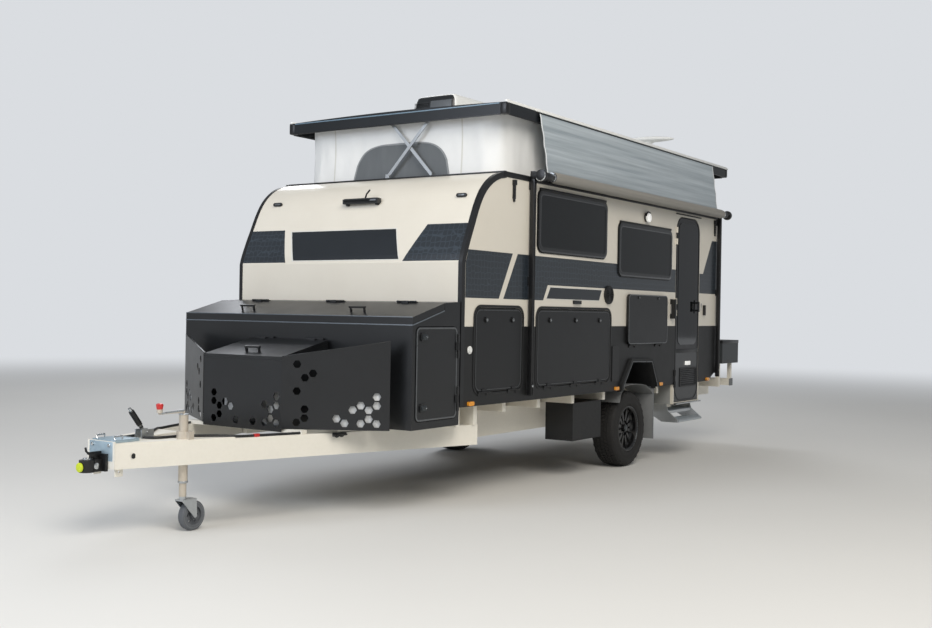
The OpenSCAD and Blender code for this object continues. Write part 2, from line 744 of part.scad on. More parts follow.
module jockey_wheel() {
    translate([jockey_x + jockey_trail, -jockey_y, jockey_r]) rotate([90, 0, 0]) {
        color(rubber) rotate_extrude($fn = 96) polygon([
            [62, -26], [92, -26], [98, -20], [jockey_r, -8], [jockey_r, 8], [98, 20], [92, 26], [62, 26]]);
        color(steel) difference() {
            rotate_extrude($fn = 96) polygon([[8.1, -28], [24, -28], [24, -8], [62, -8], [62, 8], [24, 8], [24, 28], [8.1, 28]]);
            for (a = [0:60:300]) rotate([0, 0, a]) translate([43, 0, -20]) cylinder(r = 10, h = 40, $fn = 32);
        }
    }
}

// Road wheel, drawn about its own axis with its outer face upwards
rim_half = 108;
bead_z = rim_half - 14;
module tyre_shape() {
    w = tyre_w / 2;
    r = tyre_r;
    side = tyre_r - rim_r;
    color(rubber) rotate_extrude($fn = 160) polygon([
        [rim_r + 2, -bead_z], [rim_r + 2, bead_z], [rim_r + 18, bead_z], [rim_r + 22, w - 10],
        [rim_r + 0.36 * side, w], [r - 0.45 * side, w], [r - 0.21 * side, w - 6], [r - 0.06 * side, w - 22],
        [r, w - 42], [r, -w + 42], [r - 0.06 * side, -w + 22], [r - 0.21 * side, -w + 6], [r - 0.45 * side, -w],
        [rim_r + 0.36 * side, -w],
        [rim_r + 22, -w + 10], [rim_r + 18, -bead_z]]);
}
spokes = 6;
module rim_shape() {
    rim_face();
    drum();
}
module rim_face() {
    color(satin_black) {
        rotate_extrude($fn = 128) polygon([
            [rim_r + 16, rim_half], [rim_r + 16, rim_half - 8], [rim_r + 1.5, rim_half - 12], [rim_r, 60], [175, 40],
            [175, -30], [rim_r, -60], [rim_r + 1.5, -rim_half + 12], [rim_r + 16, -rim_half + 8],
            [rim_r + 16, -rim_half], [rim_r + 8, -rim_half], [rim_r - 8, -rim_half + 16], [rim_r - 8, -57],
            [167, -27], [167, 37], [rim_r - 8, 57], [rim_r - 8, rim_half - 16], [rim_r + 8, rim_half]]);
        difference() {
            union() {
                translate([0, 0, 20]) cylinder(r = 86, h = 26, $fn = 96);
                for (i = [0:spokes - 1]) rotate([0, 0, i * 360 / spokes]) for (s = [-1, 1])
                    translate([0, 0, 38]) linear_extrude(26) polygon([
                        [70, s * 8], [70, s * 34], [186, s * 62], [197, s * 34], [176, s * 26], [110, s * 12]]);
            }
            for (i = [0:5]) rotate([0, 0, 30 + i * 60]) translate([57, 0, 34]) cylinder(r = 14, h = 40, $fn = 32);
        }
        translate([0, 0, 46]) cylinder(r = 36, h = 26, $fn = 64);
    }
    color(steel) for (i = [0:5]) rotate([0, 0, 30 + i * 60]) translate([57, 0, 34]) cylinder(r = 10, h = 18, $fn = 6);
}
// Brake drum and hub behind the wheel's face
module drum() {
    color(steel) difference() {
        union() {
            translate([0, 0, -45]) cylinder(r = 152, h = 60, $fn = 96);
            translate([0, 0, 14]) cylinder(r = 60, h = 6, $fn = 64);
        }
        translate([0, 0, -46]) cylinder(r = 142, h = 46, $fn = 96);
        translate([0, 0, -20]) cylinder(r = stub_r + 0.05, h = 36, $fn = 64);
    }
}
module on_wheel(side) {
    translate([wheel_x, side * wheel_y, tyre_r]) rotate([side < 0 ? 90 : -90, 0, 0]) children();
}
module tyre_left() { on_wheel(-1) tyre_shape(); }
module tyre_right() { on_wheel(1) tyre_shape(); }
module rim_left() { on_wheel(-1) rim_shape(); }
module rim_right() { on_wheel(1) rim_shape(); }

// Trailing arm with its stub axle, coil spring, damper and brake backing plate
pivot_x = wheel_x - 485;
pivot_z = 420;
spring_x = wheel_x - 145;
spring_y = rail_y - rail_w - 66;
spring_top = riser_z1 - 60;
module suspension() {
    z = tyre_r;
    color(satin_black) {
        // Hanger under the main rail
        block([pivot_x - 60, rail_y - rail_w, pivot_z - 40], [pivot_x + 60, rail_y - rail_w + 8, rail_z0]);
        block([pivot_x - 60, rail_y - 8, pivot_z - 40], [pivot_x + 60, rail_y, rail_z0]);
        translate([pivot_x, rail_y, pivot_z]) rotate([90, 0, 0]) cylinder(r = 12, h = rail_w, $fn = 32);
        // Arm
        across(rail_y - rail_w + 8, rail_y - 8) polygon([
            [pivot_x - 35, pivot_z - 35], [pivot_x - 35, pivot_z + 30], [pivot_x + 80, pivot_z + 30],
            [wheel_x + 40, z + 40], [wheel_x + 40, z - 40], [pivot_x + 60, pivot_z - 50]]);
        // Axle tube and stub
        translate([wheel_x, rail_y - 8, z]) rotate([-90, 0, 0]) cylinder(r = 38, h = 100, $fn = 64);
        translate([wheel_x, rail_y + 92, z]) rotate([-90, 0, 0]) cylinder(r = 140, h = 8, $fn = 96);
        translate([wheel_x, rail_y + 90, z]) rotate([-90, 0, 0]) cylinder(r = stub_r, h = 89, $fn = 64);
        // Spring seats
        translate([spring_x, spring_y, z + 40]) cylinder(r = 62, h = 8, $fn = 64);
        block([spring_x - 60, spring_y - 40, z + 30], [spring_x + 60, rail_y - rail_w + 8, z + 40]);
        translate([spring_x, spring_y, spring_top]) cylinder(r = 62, h = 30, $fn = 64);
        block([spring_x - 50, spring_y, spring_top], [spring_x + 50, rail_y - rail_w, spring_top + 30]);
    }
    coil_spring(z + 48, spring_top);
}
// Coils drawn as rings that touch, on a thin sleeve
coils = 8;
coil_r = 50;
wire_r = 8;
module coil_spring(z0, z1) {
    pitch = (z1 - z0 - 2 * wire_r) / (coils - 1);
    color(steel) translate([spring_x, spring_y, z0]) rotate_extrude($fn = 48) difference() {
        union() {
            for (i = [0:coils - 1]) translate([coil_r, wire_r + i * pitch]) circle(r = wire_r, $fn = 12);
            rect(coil_r - 4, wire_r / 2, coil_r + 1, z1 - z0 - wire_r / 2);
        }
        rect(coil_r - 2 * wire_r, 0, coil_r - 3, z1 - z0);
    }
}
module suspension_left() { mirror([0, 1, 0]) suspension(); }
module suspension_right() { suspension(); }

// Toolbox across the front of the body
tool_gap = 10;
lid_drop = 60;
lid_gap = 3;
module tool_outline(d) {
    polygon([[tool_x0 + d, tool_z0 + d], [tool_x0 + d, tool_z1 - d * 0.8], [tool_hinge_x, tool_hinge_z - d],
        [-tool_gap - d, tool_back_z - d], [-tool_gap - d, tool_z0 + d]]);
}
// The part of the outline that lifts with the lid
module lid_zone(g) {
    polygon([[tool_x0 - 1, tool_z1 + 200], [tool_x0 - 1, tool_z1 - lid_drop + g],
        [tool_hinge_x - g, tool_hinge_z - lid_drop + g], [tool_hinge_x - g, tool_hinge_z + 200]]);
}
side_door_x0 = -560;
side_door_x1 = -50;
side_door_z0 = 690;
side_door_z1 = 1362;
module side_door_shape(g) {
    round_rect(side_door_x0 - g, side_door_z0 - g, side_door_x1 + g, side_door_z1 + g, 40 + g);
}
tool_pin = [tool_hinge_x, tool_hinge_z + 8];
tool_hinge_y = [-800, -100, 700];
side_pin_x = side_door_x1 + 2;
side_pin_out = 12;
side_hinge_z = [830, 1220];
module toolbox() {
    color(steel) {
        lid_hinge(tool_hinge_y, tool_pin, true, [[0, 24, -14, 0]]);
        both_sides() upright_hinge(side_hinge_z, side_pin_x, -half_w - side_pin_out, true, side_pin_out, 1, 24);
    }
    color(satin_black) difference() {
        across(-half_w, half_w) difference() {
            tool_outline(0);
            lid_zone(0);
        }
        across(-half_w + tool_t, half_w - tool_t) tool_outline(tool_t);
        for (y = [-half_w - 1, half_w - tool_t - 1]) across(y, y + tool_t + 2) side_door_shape(door_gap);
    }
}
module toolbox_lid() {
    color(satin_black) {
        difference() {
            across(-half_w, half_w) intersection() {
                tool_outline(0);
                lid_zone(lid_gap);
            }
            across(-half_w + tool_t, half_w - tool_t) difference() {
                tool_outline(tool_t);
                rect(tool_hinge_x - lid_gap - tool_t, tool_z0, 0, tool_z1 + 300);
            }
        }
    }
    color(steel) lid_hinge(tool_hinge_y, tool_pin, false, [[-24, 0, -7, 0], [-24, -3.5, -16, 0]]);
    // Lift handles
    color(satin_black) for (y = [-560, 560]) translate([-470, y, tool_z1 + 35]) rotate([0, -15.1, 0]) {
        translate([-25, -70, 0]) cube([12, 12, 36]);
        translate([-25, 58, 0]) cube([12, 12, 36]);
        translate([-28, -75, 30]) cube([18, 150, 14]);
    }
}
side_door_t = 20;
module toolbox_side_door() {
    y1 = half_w + 4;
    color(steel) mirror([0, 1, 0])
        upright_hinge(side_hinge_z, side_pin_x, -half_w - side_pin_out, false, side_pin_out - 4, 1, 24);
    color(satin_black) across(y1 - side_door_t, y1) side_door_shape(0);
    color(steel) for (z = [785, 1292]) translate([side_door_x0 + 90, y1 + 10, z]) rotate([90, 0, 0])
        linear_extrude(10) round_rect(-45, -30, 45, 30, 20);
}
module toolbox_door_right() { toolbox_side_door(); }
module toolbox_door_left() { mirror([0, 1, 0]) toolbox_side_door(); }

// Gas bottle box ahead of the toolbox, with its perforated front
gas_x1 = -624;
gas_t = 6;
gas_lid_t = 24;
gas_pin = [gas_x1 + 10, gas_z2 + 7];
gas_hinge_y = [-250, 250];
function gas_top(x) = gas_z1 + (gas_z2 - gas_z1) * (x - gas_x0) / (gas_x1 - gas_x0);
// Perforations in columns that are half a pitch up or down from each other
hex_column = 56.5;
// First column and row of the centre panel: [y, z], and its perforations: [column, half rows up]
panel_at = [-340, 668];
panel_holes = [[0, 0], [0, 4], [0, 6], [1, 1], [1, 3], [2, 0], [2, 4], [4, 0], [7, 0], [8, 3], [9, 4], [10, 1],
    [10, 3], [11, 0], [11, 4], [11, 6]];
// The same for a wing: one group near its inner end, one near its outer end
wing_len = norm([wing_x - gas_x0, wing_y - gas_y]);
wing_angle = atan2(wing_y - gas_y, wing_x - gas_x0);
wing_at = [108, 680];
wing_holes = [[0, 0], [0, 7], [0, 13], [1, 1], [1, 3], [1, 10], [2, 11]];
wing_end_at = [wing_len - 374, 680];
wing_end_holes = [[0, 1], [1, 0], [2, 3], [3, 0], [3, 4], [4, 1], [4, 3], [5, 0], [5, 4], [5, 6]];
module hex_holes(at, rows) {
    for (h = rows) translate([at[0] + h[0] * hex_column, at[1] + h[1] * hex_pitch / 2]) circle(d = hex_d, $fn = 6);
}
module gas_box() {
    color(satin_black) {
        difference() {
            union() {
                across(-gas_y, gas_y) polygon([[gas_x0, tool_z0], [gas_x0, gas_z1 - gas_lid_t - 1],
                    [gas_x1, gas_z2 - gas_lid_t - 1], [gas_x1, tool_z0]]);
                block([gas_x0, -gas_y, tool_z0 - 22], [gas_x0 + gas_t, gas_y, tool_z0]);
            }
            across(-gas_y + gas_t, gas_y - gas_t) polygon([[gas_x0 + gas_t, tool_z0 + gas_t], [gas_x0 + gas_t, gas_z2 + 1],
                [gas_x1 - gas_t, gas_z2 + 1], [gas_x1 - gas_t, tool_z0 + gas_t]]);
            along(gas_x0 - 1, gas_x0 + gas_t + 1) hex_holes(panel_at, panel_holes);
        }
    }
    color(steel) {
        lid_hinge(gas_hinge_y, gas_pin, true, [[-10, -2, -77, 0]]);
    }
}
module gas_box_lid() {
    color(satin_black) {
        across(-gas_y, gas_y) polygon([[gas_x0, gas_z1 - gas_lid_t], [gas_x0, gas_z1],
            [gas_x1 - 0.5, gas_z2], [gas_x1 - 0.5, gas_z2 - gas_lid_t]]);
        lid_hinge(gas_hinge_y, gas_pin, false, [[-34, 0, -7, 0], [-34, -10.5, -16, 0]]);
        translate([gas_x0 + 110, 0, gas_z1 + 24]) rotate([0, -12.5, 0]) {
            translate([-8, -70, 0]) cube([16, 14, 34]);
            translate([-8, 56, 0]) cube([16, 14, 34]);
            translate([-10, -75, 28]) cube([20, 150, 14]);
        }
    }
}
// Wings that stand off the toolbox on both sides of the gas box
module stone_guard() {
    color(satin_black) both_sides() translate([gas_x0, gas_y + eps, 0]) rotate([0, 0, wing_angle]) {
        translate([0, guard_t, 0]) rotate([90, 0, 0]) linear_extrude(guard_t) difference() {
            polygon([[0, tool_z0], [0, gas_z1], [wing_len, wing_z], [wing_len, tool_z0]]);
            hex_holes(wing_at, wing_holes);
            hex_holes(wing_end_at, wing_end_holes);
        }
    }
}

// Roof: crowned panel with a skirt all round
crown_steps = 6;
function crown(y) = roof_crown * (1 - pow(y / half_w, 2));
module roof_section(y1, z0, drop) {
    polygon(concat([[-y1, z0], [-y1, roof_z1 - roof_crown - drop + crown(y1)]],
        [for (i = [-crown_steps + 1:crown_steps - 1]) let (y = i * y1 / crown_steps)
            [y, roof_z1 - roof_crown - drop + crown(y)]],
        [[y1, roof_z1 - roof_crown - drop + crown(y1)], [y1, z0]]));
}
module roof() {
    color(white_paint) difference() {
        along(roof_x0, roof_x1) roof_section(half_w, roof_z1 - roof_skirt, 0);
        along(roof_x0 + skirt_t, roof_x1 - skirt_t)
            rect(-half_w + skirt_t, roof_z1 - roof_skirt - 1, half_w - skirt_t, roof_z1 - roof_t - roof_crown);
    }
    // Awning track along the roof's edge
    color(steel) block([roller_x0 - 45, -half_w - 12, roof_z1 - 62], [roller_x1 + 10, -half_w, roof_z1 - 28]);
}

// Rooftop air conditioner: [x0, x1, y0, y1, height]
cooler = [1090, 1990, -305, 155, 232];
cooler_side = 70;
module roof_cooler() {
    color(white_paint) intersection() {
        across(cooler[2], cooler[3]) polygon([
            [cooler[0], roof_z1], [cooler[0], roof_z1 + 55], [cooler[0] + 40, roof_z1 + 160],
            [cooler[0] + 150, roof_z1 + cooler[4]], [cooler[1] - 220, roof_z1 + cooler[4] - 8],
            [cooler[1] - 60, roof_z1 + 170], [cooler[1], roof_z1 + 80], [cooler[1], roof_z1]]);
        along(cooler[0], cooler[1]) polygon([
            [cooler[2], roof_z1], [cooler[2], roof_z1 + 110], [cooler[2] + cooler_side / 3, roof_z1 + 190],
            [cooler[2] + cooler_side, roof_z1 + cooler[4] + 1], [cooler[3] - cooler_side, roof_z1 + cooler[4] + 1],
            [cooler[3] - cooler_side / 3, roof_z1 + 190], [cooler[3], roof_z1 + 110], [cooler[3], roof_z1]]);
    }
}
// Television antenna: a base, a mast and a swept wing
antenna_at = [body_len - 920, -half_w + 500];
antenna_z0 = roof_z1 - roof_crown + crown(-antenna_at[1] - 60);
antenna_z1 = roof_z1 + 212;
wing = [[-75, -38], [-12, -262], [36, -280], [52, -262], [40, 0], [52, 262], [36, 280], [-12, 262], [-75, 38]];
module antenna() {
    color(white_paint) translate([antenna_at[0], antenna_at[1], 0]) {
        translate([0, 0, antenna_z0]) cylinder(r1 = 64, r2 = 44, h = 40, $fn = 48);
        translate([0, 0, antenna_z0 + 30]) cylinder(r = 16, h = antenna_z1 - antenna_z0 - 25, $fn = 32);
        translate([0, 0, antenna_z1]) linear_extrude(22) polygon(wing);
        translate([0, 0, antenna_z1 - 14]) cylinder(r1 = 30, r2 = 42, h = 16, $fn = 48);
    }
}

module canvas() {
    color(canvas_white) translate([0, 0, body_z1 + eps])
        linear_extrude(roof_z1 - roof_crown - roof_t - body_z1 - 2 * eps) difference() {
            round_rect(canvas_x0, -canvas_w / 2, canvas_x1, canvas_w / 2, canvas_r);
            round_rect(canvas_x0 + canvas_t, -canvas_w / 2 + canvas_t, canvas_x1 - canvas_t,
                canvas_w / 2 - canvas_t, canvas_r - canvas_t);
        }
}

// Scissor arms of the roof lift, drawn in front view
arm_pin_r = 6;
arm_z = body_z1 + 35;
arm_x_front = canvas_x0 - 50;
arm_x_rear = canvas_x1 + 34;
arm_gap = 1;
// Angle of the arms that brings their ends under the raised roof
arm_rise = asin((roof_z1 - roof_crown - roof_t - arm_clear - arm_w / 2 - arm_z) / arm_len);
function arm_foot(side) = [-arm_y + side * arm_len / 2 * cos(arm_rise), arm_z];
module arm_bar(foot, tilt, x) {
    translate([x, foot[0], foot[1]]) rotate([tilt, 0, 0]) rotate([90, 0, 90]) linear_extrude(arm_t) {
        rect(0, -arm_w / 2, arm_len, arm_w / 2);
        for (s = [0, arm_len]) translate([s, 0]) circle(r = arm_w / 2, $fn = 48);
    }
}
module arm_a(x) {
    color(steel) difference() {
        arm_bar(arm_foot(1), 180 - arm_rise, x);
        translate([x - 1, -arm_y, arm_z + arm_len / 2 * sin(arm_rise)]) rotate([0, 90, 0])
            cylinder(r = arm_pin_r + 0.05, h = arm_t + 2, $fn = 48);
        translate([x - 1, arm_foot(1)[0], arm_z]) rotate([0, 90, 0])
            cylinder(r = arm_pin_r + 0.05, h = arm_t + 2, $fn = 48);
    }
}
module arm_b(x) {
    color(steel) {
        arm_bar(arm_foot(-1), arm_rise, x);
        translate([x - arm_t - arm_gap, -arm_y, arm_z + arm_len / 2 * sin(arm_rise)]) rotate([0, 90, 0])
            cylinder(r = arm_pin_r, h = arm_t + arm_gap, $fn = 48);
    }
}
module lift_arm_front_a() { arm_a(arm_x_front); }
module lift_arm_front_b() { arm_b(arm_x_front + arm_t + arm_gap); }
module lift_arm_rear_a() { arm_a(arm_x_rear); }
module lift_arm_rear_b() { arm_b(arm_x_rear + arm_t + arm_gap); }
module lift_seats() {
    color(steel) for (x = [arm_x_front, arm_x_rear]) arm_seats(x);
}
// Lug with the lower pin of the first arm, and the track of the second arm's foot
module arm_seats(x) {
    foot = arm_foot(1);
    block([x - 9, foot[0] - 20, body_z1], [x - eps, foot[0] + 20, arm_z + 16]);
    translate([x - 9, foot[0], arm_z]) rotate([0, 90, 0]) cylinder(r = arm_pin_r, h = 9 + arm_t, $fn = 48);
    block([x + arm_t + arm_gap, arm_foot(-1)[0] - 170, body_z1], [x + 2 * arm_t + arm_gap, arm_foot(-1)[0] + 25,
        arm_z - arm_w / 2 - 5]);
}

// Awning: arms on the body's side, roller between them, sheet down from the roof
awn_y0 = half_w + clad_t + 8;
awn_y1 = half_w + 82;
awn_arm_z0 = 800;
awn_arm_z1 = 2640;
awn_arm_half = 25;
// Half the size of the block that holds the roller's end
awn_head = 30;
module awning_arms() {
    color(graphite) for (x = [awn_arm_x0, awn_arm_x1]) {
        s = x < body_len / 2 ? 1 : -1;
        block([x - awn_arm_half, -awn_y1, awn_arm_z0], [x + awn_arm_half, -awn_y0, awn_arm_z1]);
        for (z = [awn_arm_z0 + 40, awn_arm_z0 + 900, awn_arm_z1 - 160])
            block([x - 20, -awn_y0, z], [x + 20, -half_w - (z < clad_z1 ? clad_t : 0), z + 70]);
        xr = (s > 0 ? roller_x0 : roller_x1) - s * 12;
        block([min(x, xr), -roller_y - awn_head, roller_z - awn_head],
            [max(x, xr), -roller_y + awn_head, roller_z + awn_head]);
        block([x - awn_arm_half, -roller_y - awn_head, roller_z - awn_head],
            [x + awn_arm_half, -awn_y0, roller_z + awn_head]);
    }
}
module awning_roller() {
    color(steel) translate([roller_x0 - 12, -roller_y, roller_z]) rotate([0, 90, 0])
        cylinder(r = roller_r, h = roller_x1 - roller_x0 + 24, $fn = 64);
}
module awning_sheet() {
    y0 = half_w + 12 + eps;
    y1 = roller_y - roller_r - awn_sheet_t - 2 * eps;
    z0 = roller_z - 4;
    z1 = roof_z1 - 40;
    color(canvas_white) along(roller_x0 + 15, roller_x1 - 40)
        polygon([[-y1, z0], [-y1 - awn_sheet_t, z0], [-y0 - awn_sheet_t, z1], [-y0, z1]]);
}

// Grey rim over the arch and the flaps behind the tyres
arch_rim_out = 30;
flap_t = 12;
flap_z0 = 236;
module mud_guards() {
    x0 = arch[4][0] + 11;
    color(graphite) both_sides() block([x0, half_w - 300, flap_z0], [x0 + flap_t, half_w - 20, body_z0]);
    color(galvanised) both_sides() across(half_w + clad_t, half_w + clad_t + arch_rim_out) difference() {
        offset_arch(34);
        offset_arch(0);
    }
}

// Tanks and battery box below the floor: [x0, x1, y0, y1, z0]
tank_y = rail_y - rail_w - 50;
tank_z0 = 500;
battery_z0 = 340;
under_rows = [
    [1000, 1800, -tank_y, tank_y, tank_z0], [wheel_x + 595, wheel_x + 1155, -tank_y, tank_y - 100, tank_z0],
    [1900, 2440, 70 - half_w, -rail_y, battery_z0]
];
module under_boxes() {
    color(satin_black) for (b = under_rows) block([b[0], b[2], b[4]], [b[1], b[3], riser_z1]);
}

// Two-tread step under the entry door
step_x0 = door_x0 - 50;
step_x1 = step_x0 + 600;
// Treads: [from the side wall's face out to its inner edge, to its outer edge, height]
treads = [[-250, -50, 455], [-110, 70, 372]];
tread_t = 28;
step_t = 8;
module entry_step() {
    color(steel) {
        for (t = treads) block([step_x0, -half_w - t[1], t[2]], [step_x1, -half_w - t[0], t[2] + tread_t]);
        for (x = [step_x0 - step_t, step_x1]) {
            step_cheek(x);
            block([x, -half_w + 60, 540], [x + step_t, -rail_y, door_z0 - sill_t]);
        }
    }
}
// Side plate that carries both treads, with a slanted front
module step_cheek(x) {
    y0 = -half_w;
    z1 = treads[0][2];
    z0 = treads[1][2];
    along(x, x + step_t) polygon([[y0 + 60, 556], [y0 + 300, 556], [y0 + 260, z1], [y0 + 110, z0], [y0 - 70, z0],
        [y0 - 70, z0 + tread_t], [y0 + 40, z1 + tread_t]]);
}

// Rear bumper with extension rails, storage box and spare wheel
carrier_x1 = body_len + 590;
post_x = body_len + 230;
foot_x = body_len + 170;
foot_w = 40;
// Storage box: height of its underside, its height, and how far it runs out behind the bumper
box_z0 = 935;
rear_box_h = 260;
rear_box_over = 46;
spare_x = body_len + 430;
spare_z = riser_z1 + 72 + tyre_r;
module rear_carrier() {
    z1 = riser_z1 - 10;
    z2 = riser_z1 + 70;
    y1 = half_w - 60;
    color(galvanised) {
        both_sides() block([body_len - 20, rail_y - rail_w, rail_z1 - 50], [carrier_x1, rail_y, z1]);
        block([carrier_x1 - 80, -y1, z1], [carrier_x1, y1, z2]);
        // Post and stub that carry the spare wheel
        block([post_x, -60, z1], [post_x + 40, 60, spare_z + 80]);
        block([post_x, -rail_y + rail_w, riser_z1 - 60], [post_x + 50, rail_y - rail_w, z1]);
        translate([post_x + 40, 0, spare_z]) rotate([0, 90, 0]) cylinder(r = 60, h = spare_x - post_x - 20, $fn = 64);
        // Feet of the storage box
        for (x = [foot_x, carrier_x1 - 60]) {
            block([x, -y1, z2], [x + foot_w, -y1 + foot_w, box_z0]);
            block([x, -rail_y, z1], [x + foot_w, -rail_y + foot_w, box_z0]);
        }
        block([foot_x, -y1, z1], [foot_x + foot_w, -rail_y, z2]);
    }
}
module rear_box() {
    color(graphite)
        block([foot_x - 30, -half_w + 10, box_z0], [carrier_x1 + rear_box_over, -half_w + 460, box_z0 + rear_box_h]);
}
module on_spare() { translate([spare_x, 0, spare_z]) rotate([0, 90, 0]) children(); }
module spare_tyre() { on_spare() tyre_shape(); }
module spare_rim() { on_spare() rim_face(); }

// Small fittings on the walls: places along the side [x, z], sizes and how far they stand out
grab_x = door_x0 - 135;
grab_z = [1440, 1640];
grab_out = 55;
latch_x = door_x1 + 118;
speaker_at = [2409, 1653];
speaker_r = 85;
handle_x = [1735, 1865];
socket_panel = [2500, 850, 2640, 1180];
dome_lamp_at = [3200, 2430];
dome_lamp_r = 45;
module side_fittings() {
    y = -half_w;
    color(satin_black) {
        // Grab handle beside the door
        for (z = [grab_z[0], grab_z[1] - 50]) block([grab_x, y - 12, z], [grab_x + 46, y, z + 50]);
        block([grab_x + 7, y - grab_out, grab_z[0]], [grab_x + 39, y - 12, grab_z[1]]);
        // Latch plate behind the door
        block([latch_x, y - 25, 1480], [latch_x + 30, y, 1590]);
        // Outdoor speaker, flat handle and socket panel
        translate([speaker_at[0], y, speaker_at[1]]) rotate([90, 0, 0]) cylinder(r = speaker_r, h = 14, $fn = 64);
        block([handle_x[0], y - 18, 1560], [handle_x[1], y, 1590]);
        across(y - clad_t - 8, y - clad_t)
            round_rect(socket_panel[0], socket_panel[1], socket_panel[2], socket_panel[3], 12);
    }
    color(white_paint) translate([dome_lamp_at[0], y, dome_lamp_at[1]]) rotate([90, 0, 0])
        cylinder(r = dome_lamp_r, h = 22, $fn = 48);
    color(satin_black) {
        light_bar();
        both_sides() for (x = [strap_x, body_len - 185]) roof_strap(x);
    }
}
// Light bar that stands off the raked front wall on two feet: [y0, y1, z0, z1]
bar = [-205, 160, 2344, 2382];
bar_x = 168;
bar_t = 48;
module light_bar() {
    difference() {
        union() {
            block([bar_x, bar[0], bar[2]], [bar_x + bar_t, bar[1], bar[3]]);
            for (y = [bar[0] + 30, bar[1] - 30]) block([bar_x + 20, y - 12, bar[2] - 14], [bar_x + 140, y + 12, bar[2] + 4]);
        }
        across(-half_w, half_w) body_outline();
    }
}
// Rubber strap and hook that hold the lowered roof down
strap_x = 720;
module roof_strap(x) {
    y = half_w;
    block([x - 17, y, body_z1 - 200], [x + 17, y + 12, body_z1 - 60]);
    block([x - 22, y, body_z1 - 90], [x + 22, y + 20, body_z1 - 50]);
}

// Amber lamps along the lower edges, and the rear lamps: [y0, z0, y1, z1]
amber_x = [135, 2600, 3590, body_len - 342];
tail_lamp = [half_w - 250, 1120, half_w - 70, 1320];
module marker_lamps() {
    color(amber) both_sides() for (x = amber_x) translate([x, half_w + clad_t + 16, body_z0 + 22])
        rotate([90, 0, 0]) linear_extrude(16) round_rect(-38, -16, 38, 16, 12);
    color(lamp_red) both_sides() along(body_len + clad_t, body_len + clad_t + 30)
        round_rect(tail_lamp[0], tail_lamp[1], tail_lamp[2], tail_lamp[3], 20);
}

place() chassis();
place() cross_members();
place() drawbar();
place() chain_plates();
place() coupling();
place() handbrake();
place() jockey_leg();
place() jockey_fork();
place() jockey_wheel();
place() suspension_left();
place() suspension_right();
place() rim_left();
place() rim_right();
place() tyre_left();
place() tyre_right();
place() cabin_floor();
place() wheel_boxes();
place() wall_left();
place() wall_right();
place() wall_front();
place() wall_rear();
place() body_top();
place() lower_cladding();
place() locker_liners();
place() window_frames();
place() window_glass();
place() entry_door();
place() door_glass();
place() boot_hatch_left();
place() boot_hatch_right();
place() kitchen_hatch();
place() picnic_table();
place() toolbox();
place() toolbox_lid();
place() toolbox_door_left();
place() toolbox_door_right();
place() gas_box();
place() gas_box_lid();
place() stone_guard();
place() roof();
place() roof_cooler();
place() antenna();
place() canvas();
place() lift_arm_front_a();
place() lift_arm_front_b();
place() lift_arm_rear_a();
place() lift_arm_rear_b();
place() lift_seats();
place() awning_arms();
place() awning_roller();
place() awning_sheet();
place() mud_guards();
place() under_boxes();
place() entry_step();
place() rear_carrier();
place() rear_box();
place() spare_tyre();
place() spare_rim();
place() side_fittings();
place() marker_lamps();
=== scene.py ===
# %% [markdown]
# # A pop-top caravan in its finishes
# The solids of the caravan come from an exact drawing and stay as they are.
# This script gives them real surfaces and adds what a solid drawing leaves out:
# film stripes, mouldings, cloth, tread, seals and small fittings.
# Every length is written in millimetres in the drawing's own frame, whose zero is
# the body's lower front edge, and one function moves it into the scene in metres.

# %% Load the solids
import math

import bmesh
import bpy
from mathutils import Matrix, Vector, noise


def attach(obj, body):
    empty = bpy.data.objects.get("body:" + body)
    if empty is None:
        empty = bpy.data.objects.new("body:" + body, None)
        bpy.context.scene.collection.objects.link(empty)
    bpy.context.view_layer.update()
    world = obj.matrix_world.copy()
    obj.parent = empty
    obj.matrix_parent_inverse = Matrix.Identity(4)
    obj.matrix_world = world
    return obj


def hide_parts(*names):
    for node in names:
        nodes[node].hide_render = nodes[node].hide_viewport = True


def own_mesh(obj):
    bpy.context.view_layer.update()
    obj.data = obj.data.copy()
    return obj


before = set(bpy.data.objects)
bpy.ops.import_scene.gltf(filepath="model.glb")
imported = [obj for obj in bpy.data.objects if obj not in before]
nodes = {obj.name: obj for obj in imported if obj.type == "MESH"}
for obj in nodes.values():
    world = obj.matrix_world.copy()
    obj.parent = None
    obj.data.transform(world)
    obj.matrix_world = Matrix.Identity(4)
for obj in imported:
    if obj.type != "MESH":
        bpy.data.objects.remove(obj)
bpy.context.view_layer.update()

# %% [markdown]
# ## From the drawing to the scene
# The finished part is centred over its footprint, so each drawing point moves by a
# fixed step. Keeping the drawing's numbers makes every trim easy to check against it.

# %% Points in the scene
STEP_X, STEP_Y = -1659, 66.5
ROOT = "caravan"
SIDES = ((-1, "left"), (1, "right"))
NEAR_FAR = ((-1, "near"), (1, "far"))


def at(x, y, z):
    """The place in the scene, in metres, of a point of the drawing."""
    return Vector(((x + STEP_X) / 1000, (y + STEP_Y) / 1000, z / 1000))


print("the body's front edge is at", at(0, 0, 0)[:])

# %% [markdown]
# ## Meshes from a few rules
# Trims are plates, bars and swept strips. Each helper takes drawing points, makes one
# closed mesh, rounds its edges a little, because a real edge always catches light, and
# lets it ride on the body that carries it.

# %% Mesh helpers
ROUND_ABOVE = 0.5  # an edge that turns more than this, in radians, is rounded
SHARP_ABOVE = math.radians(40)


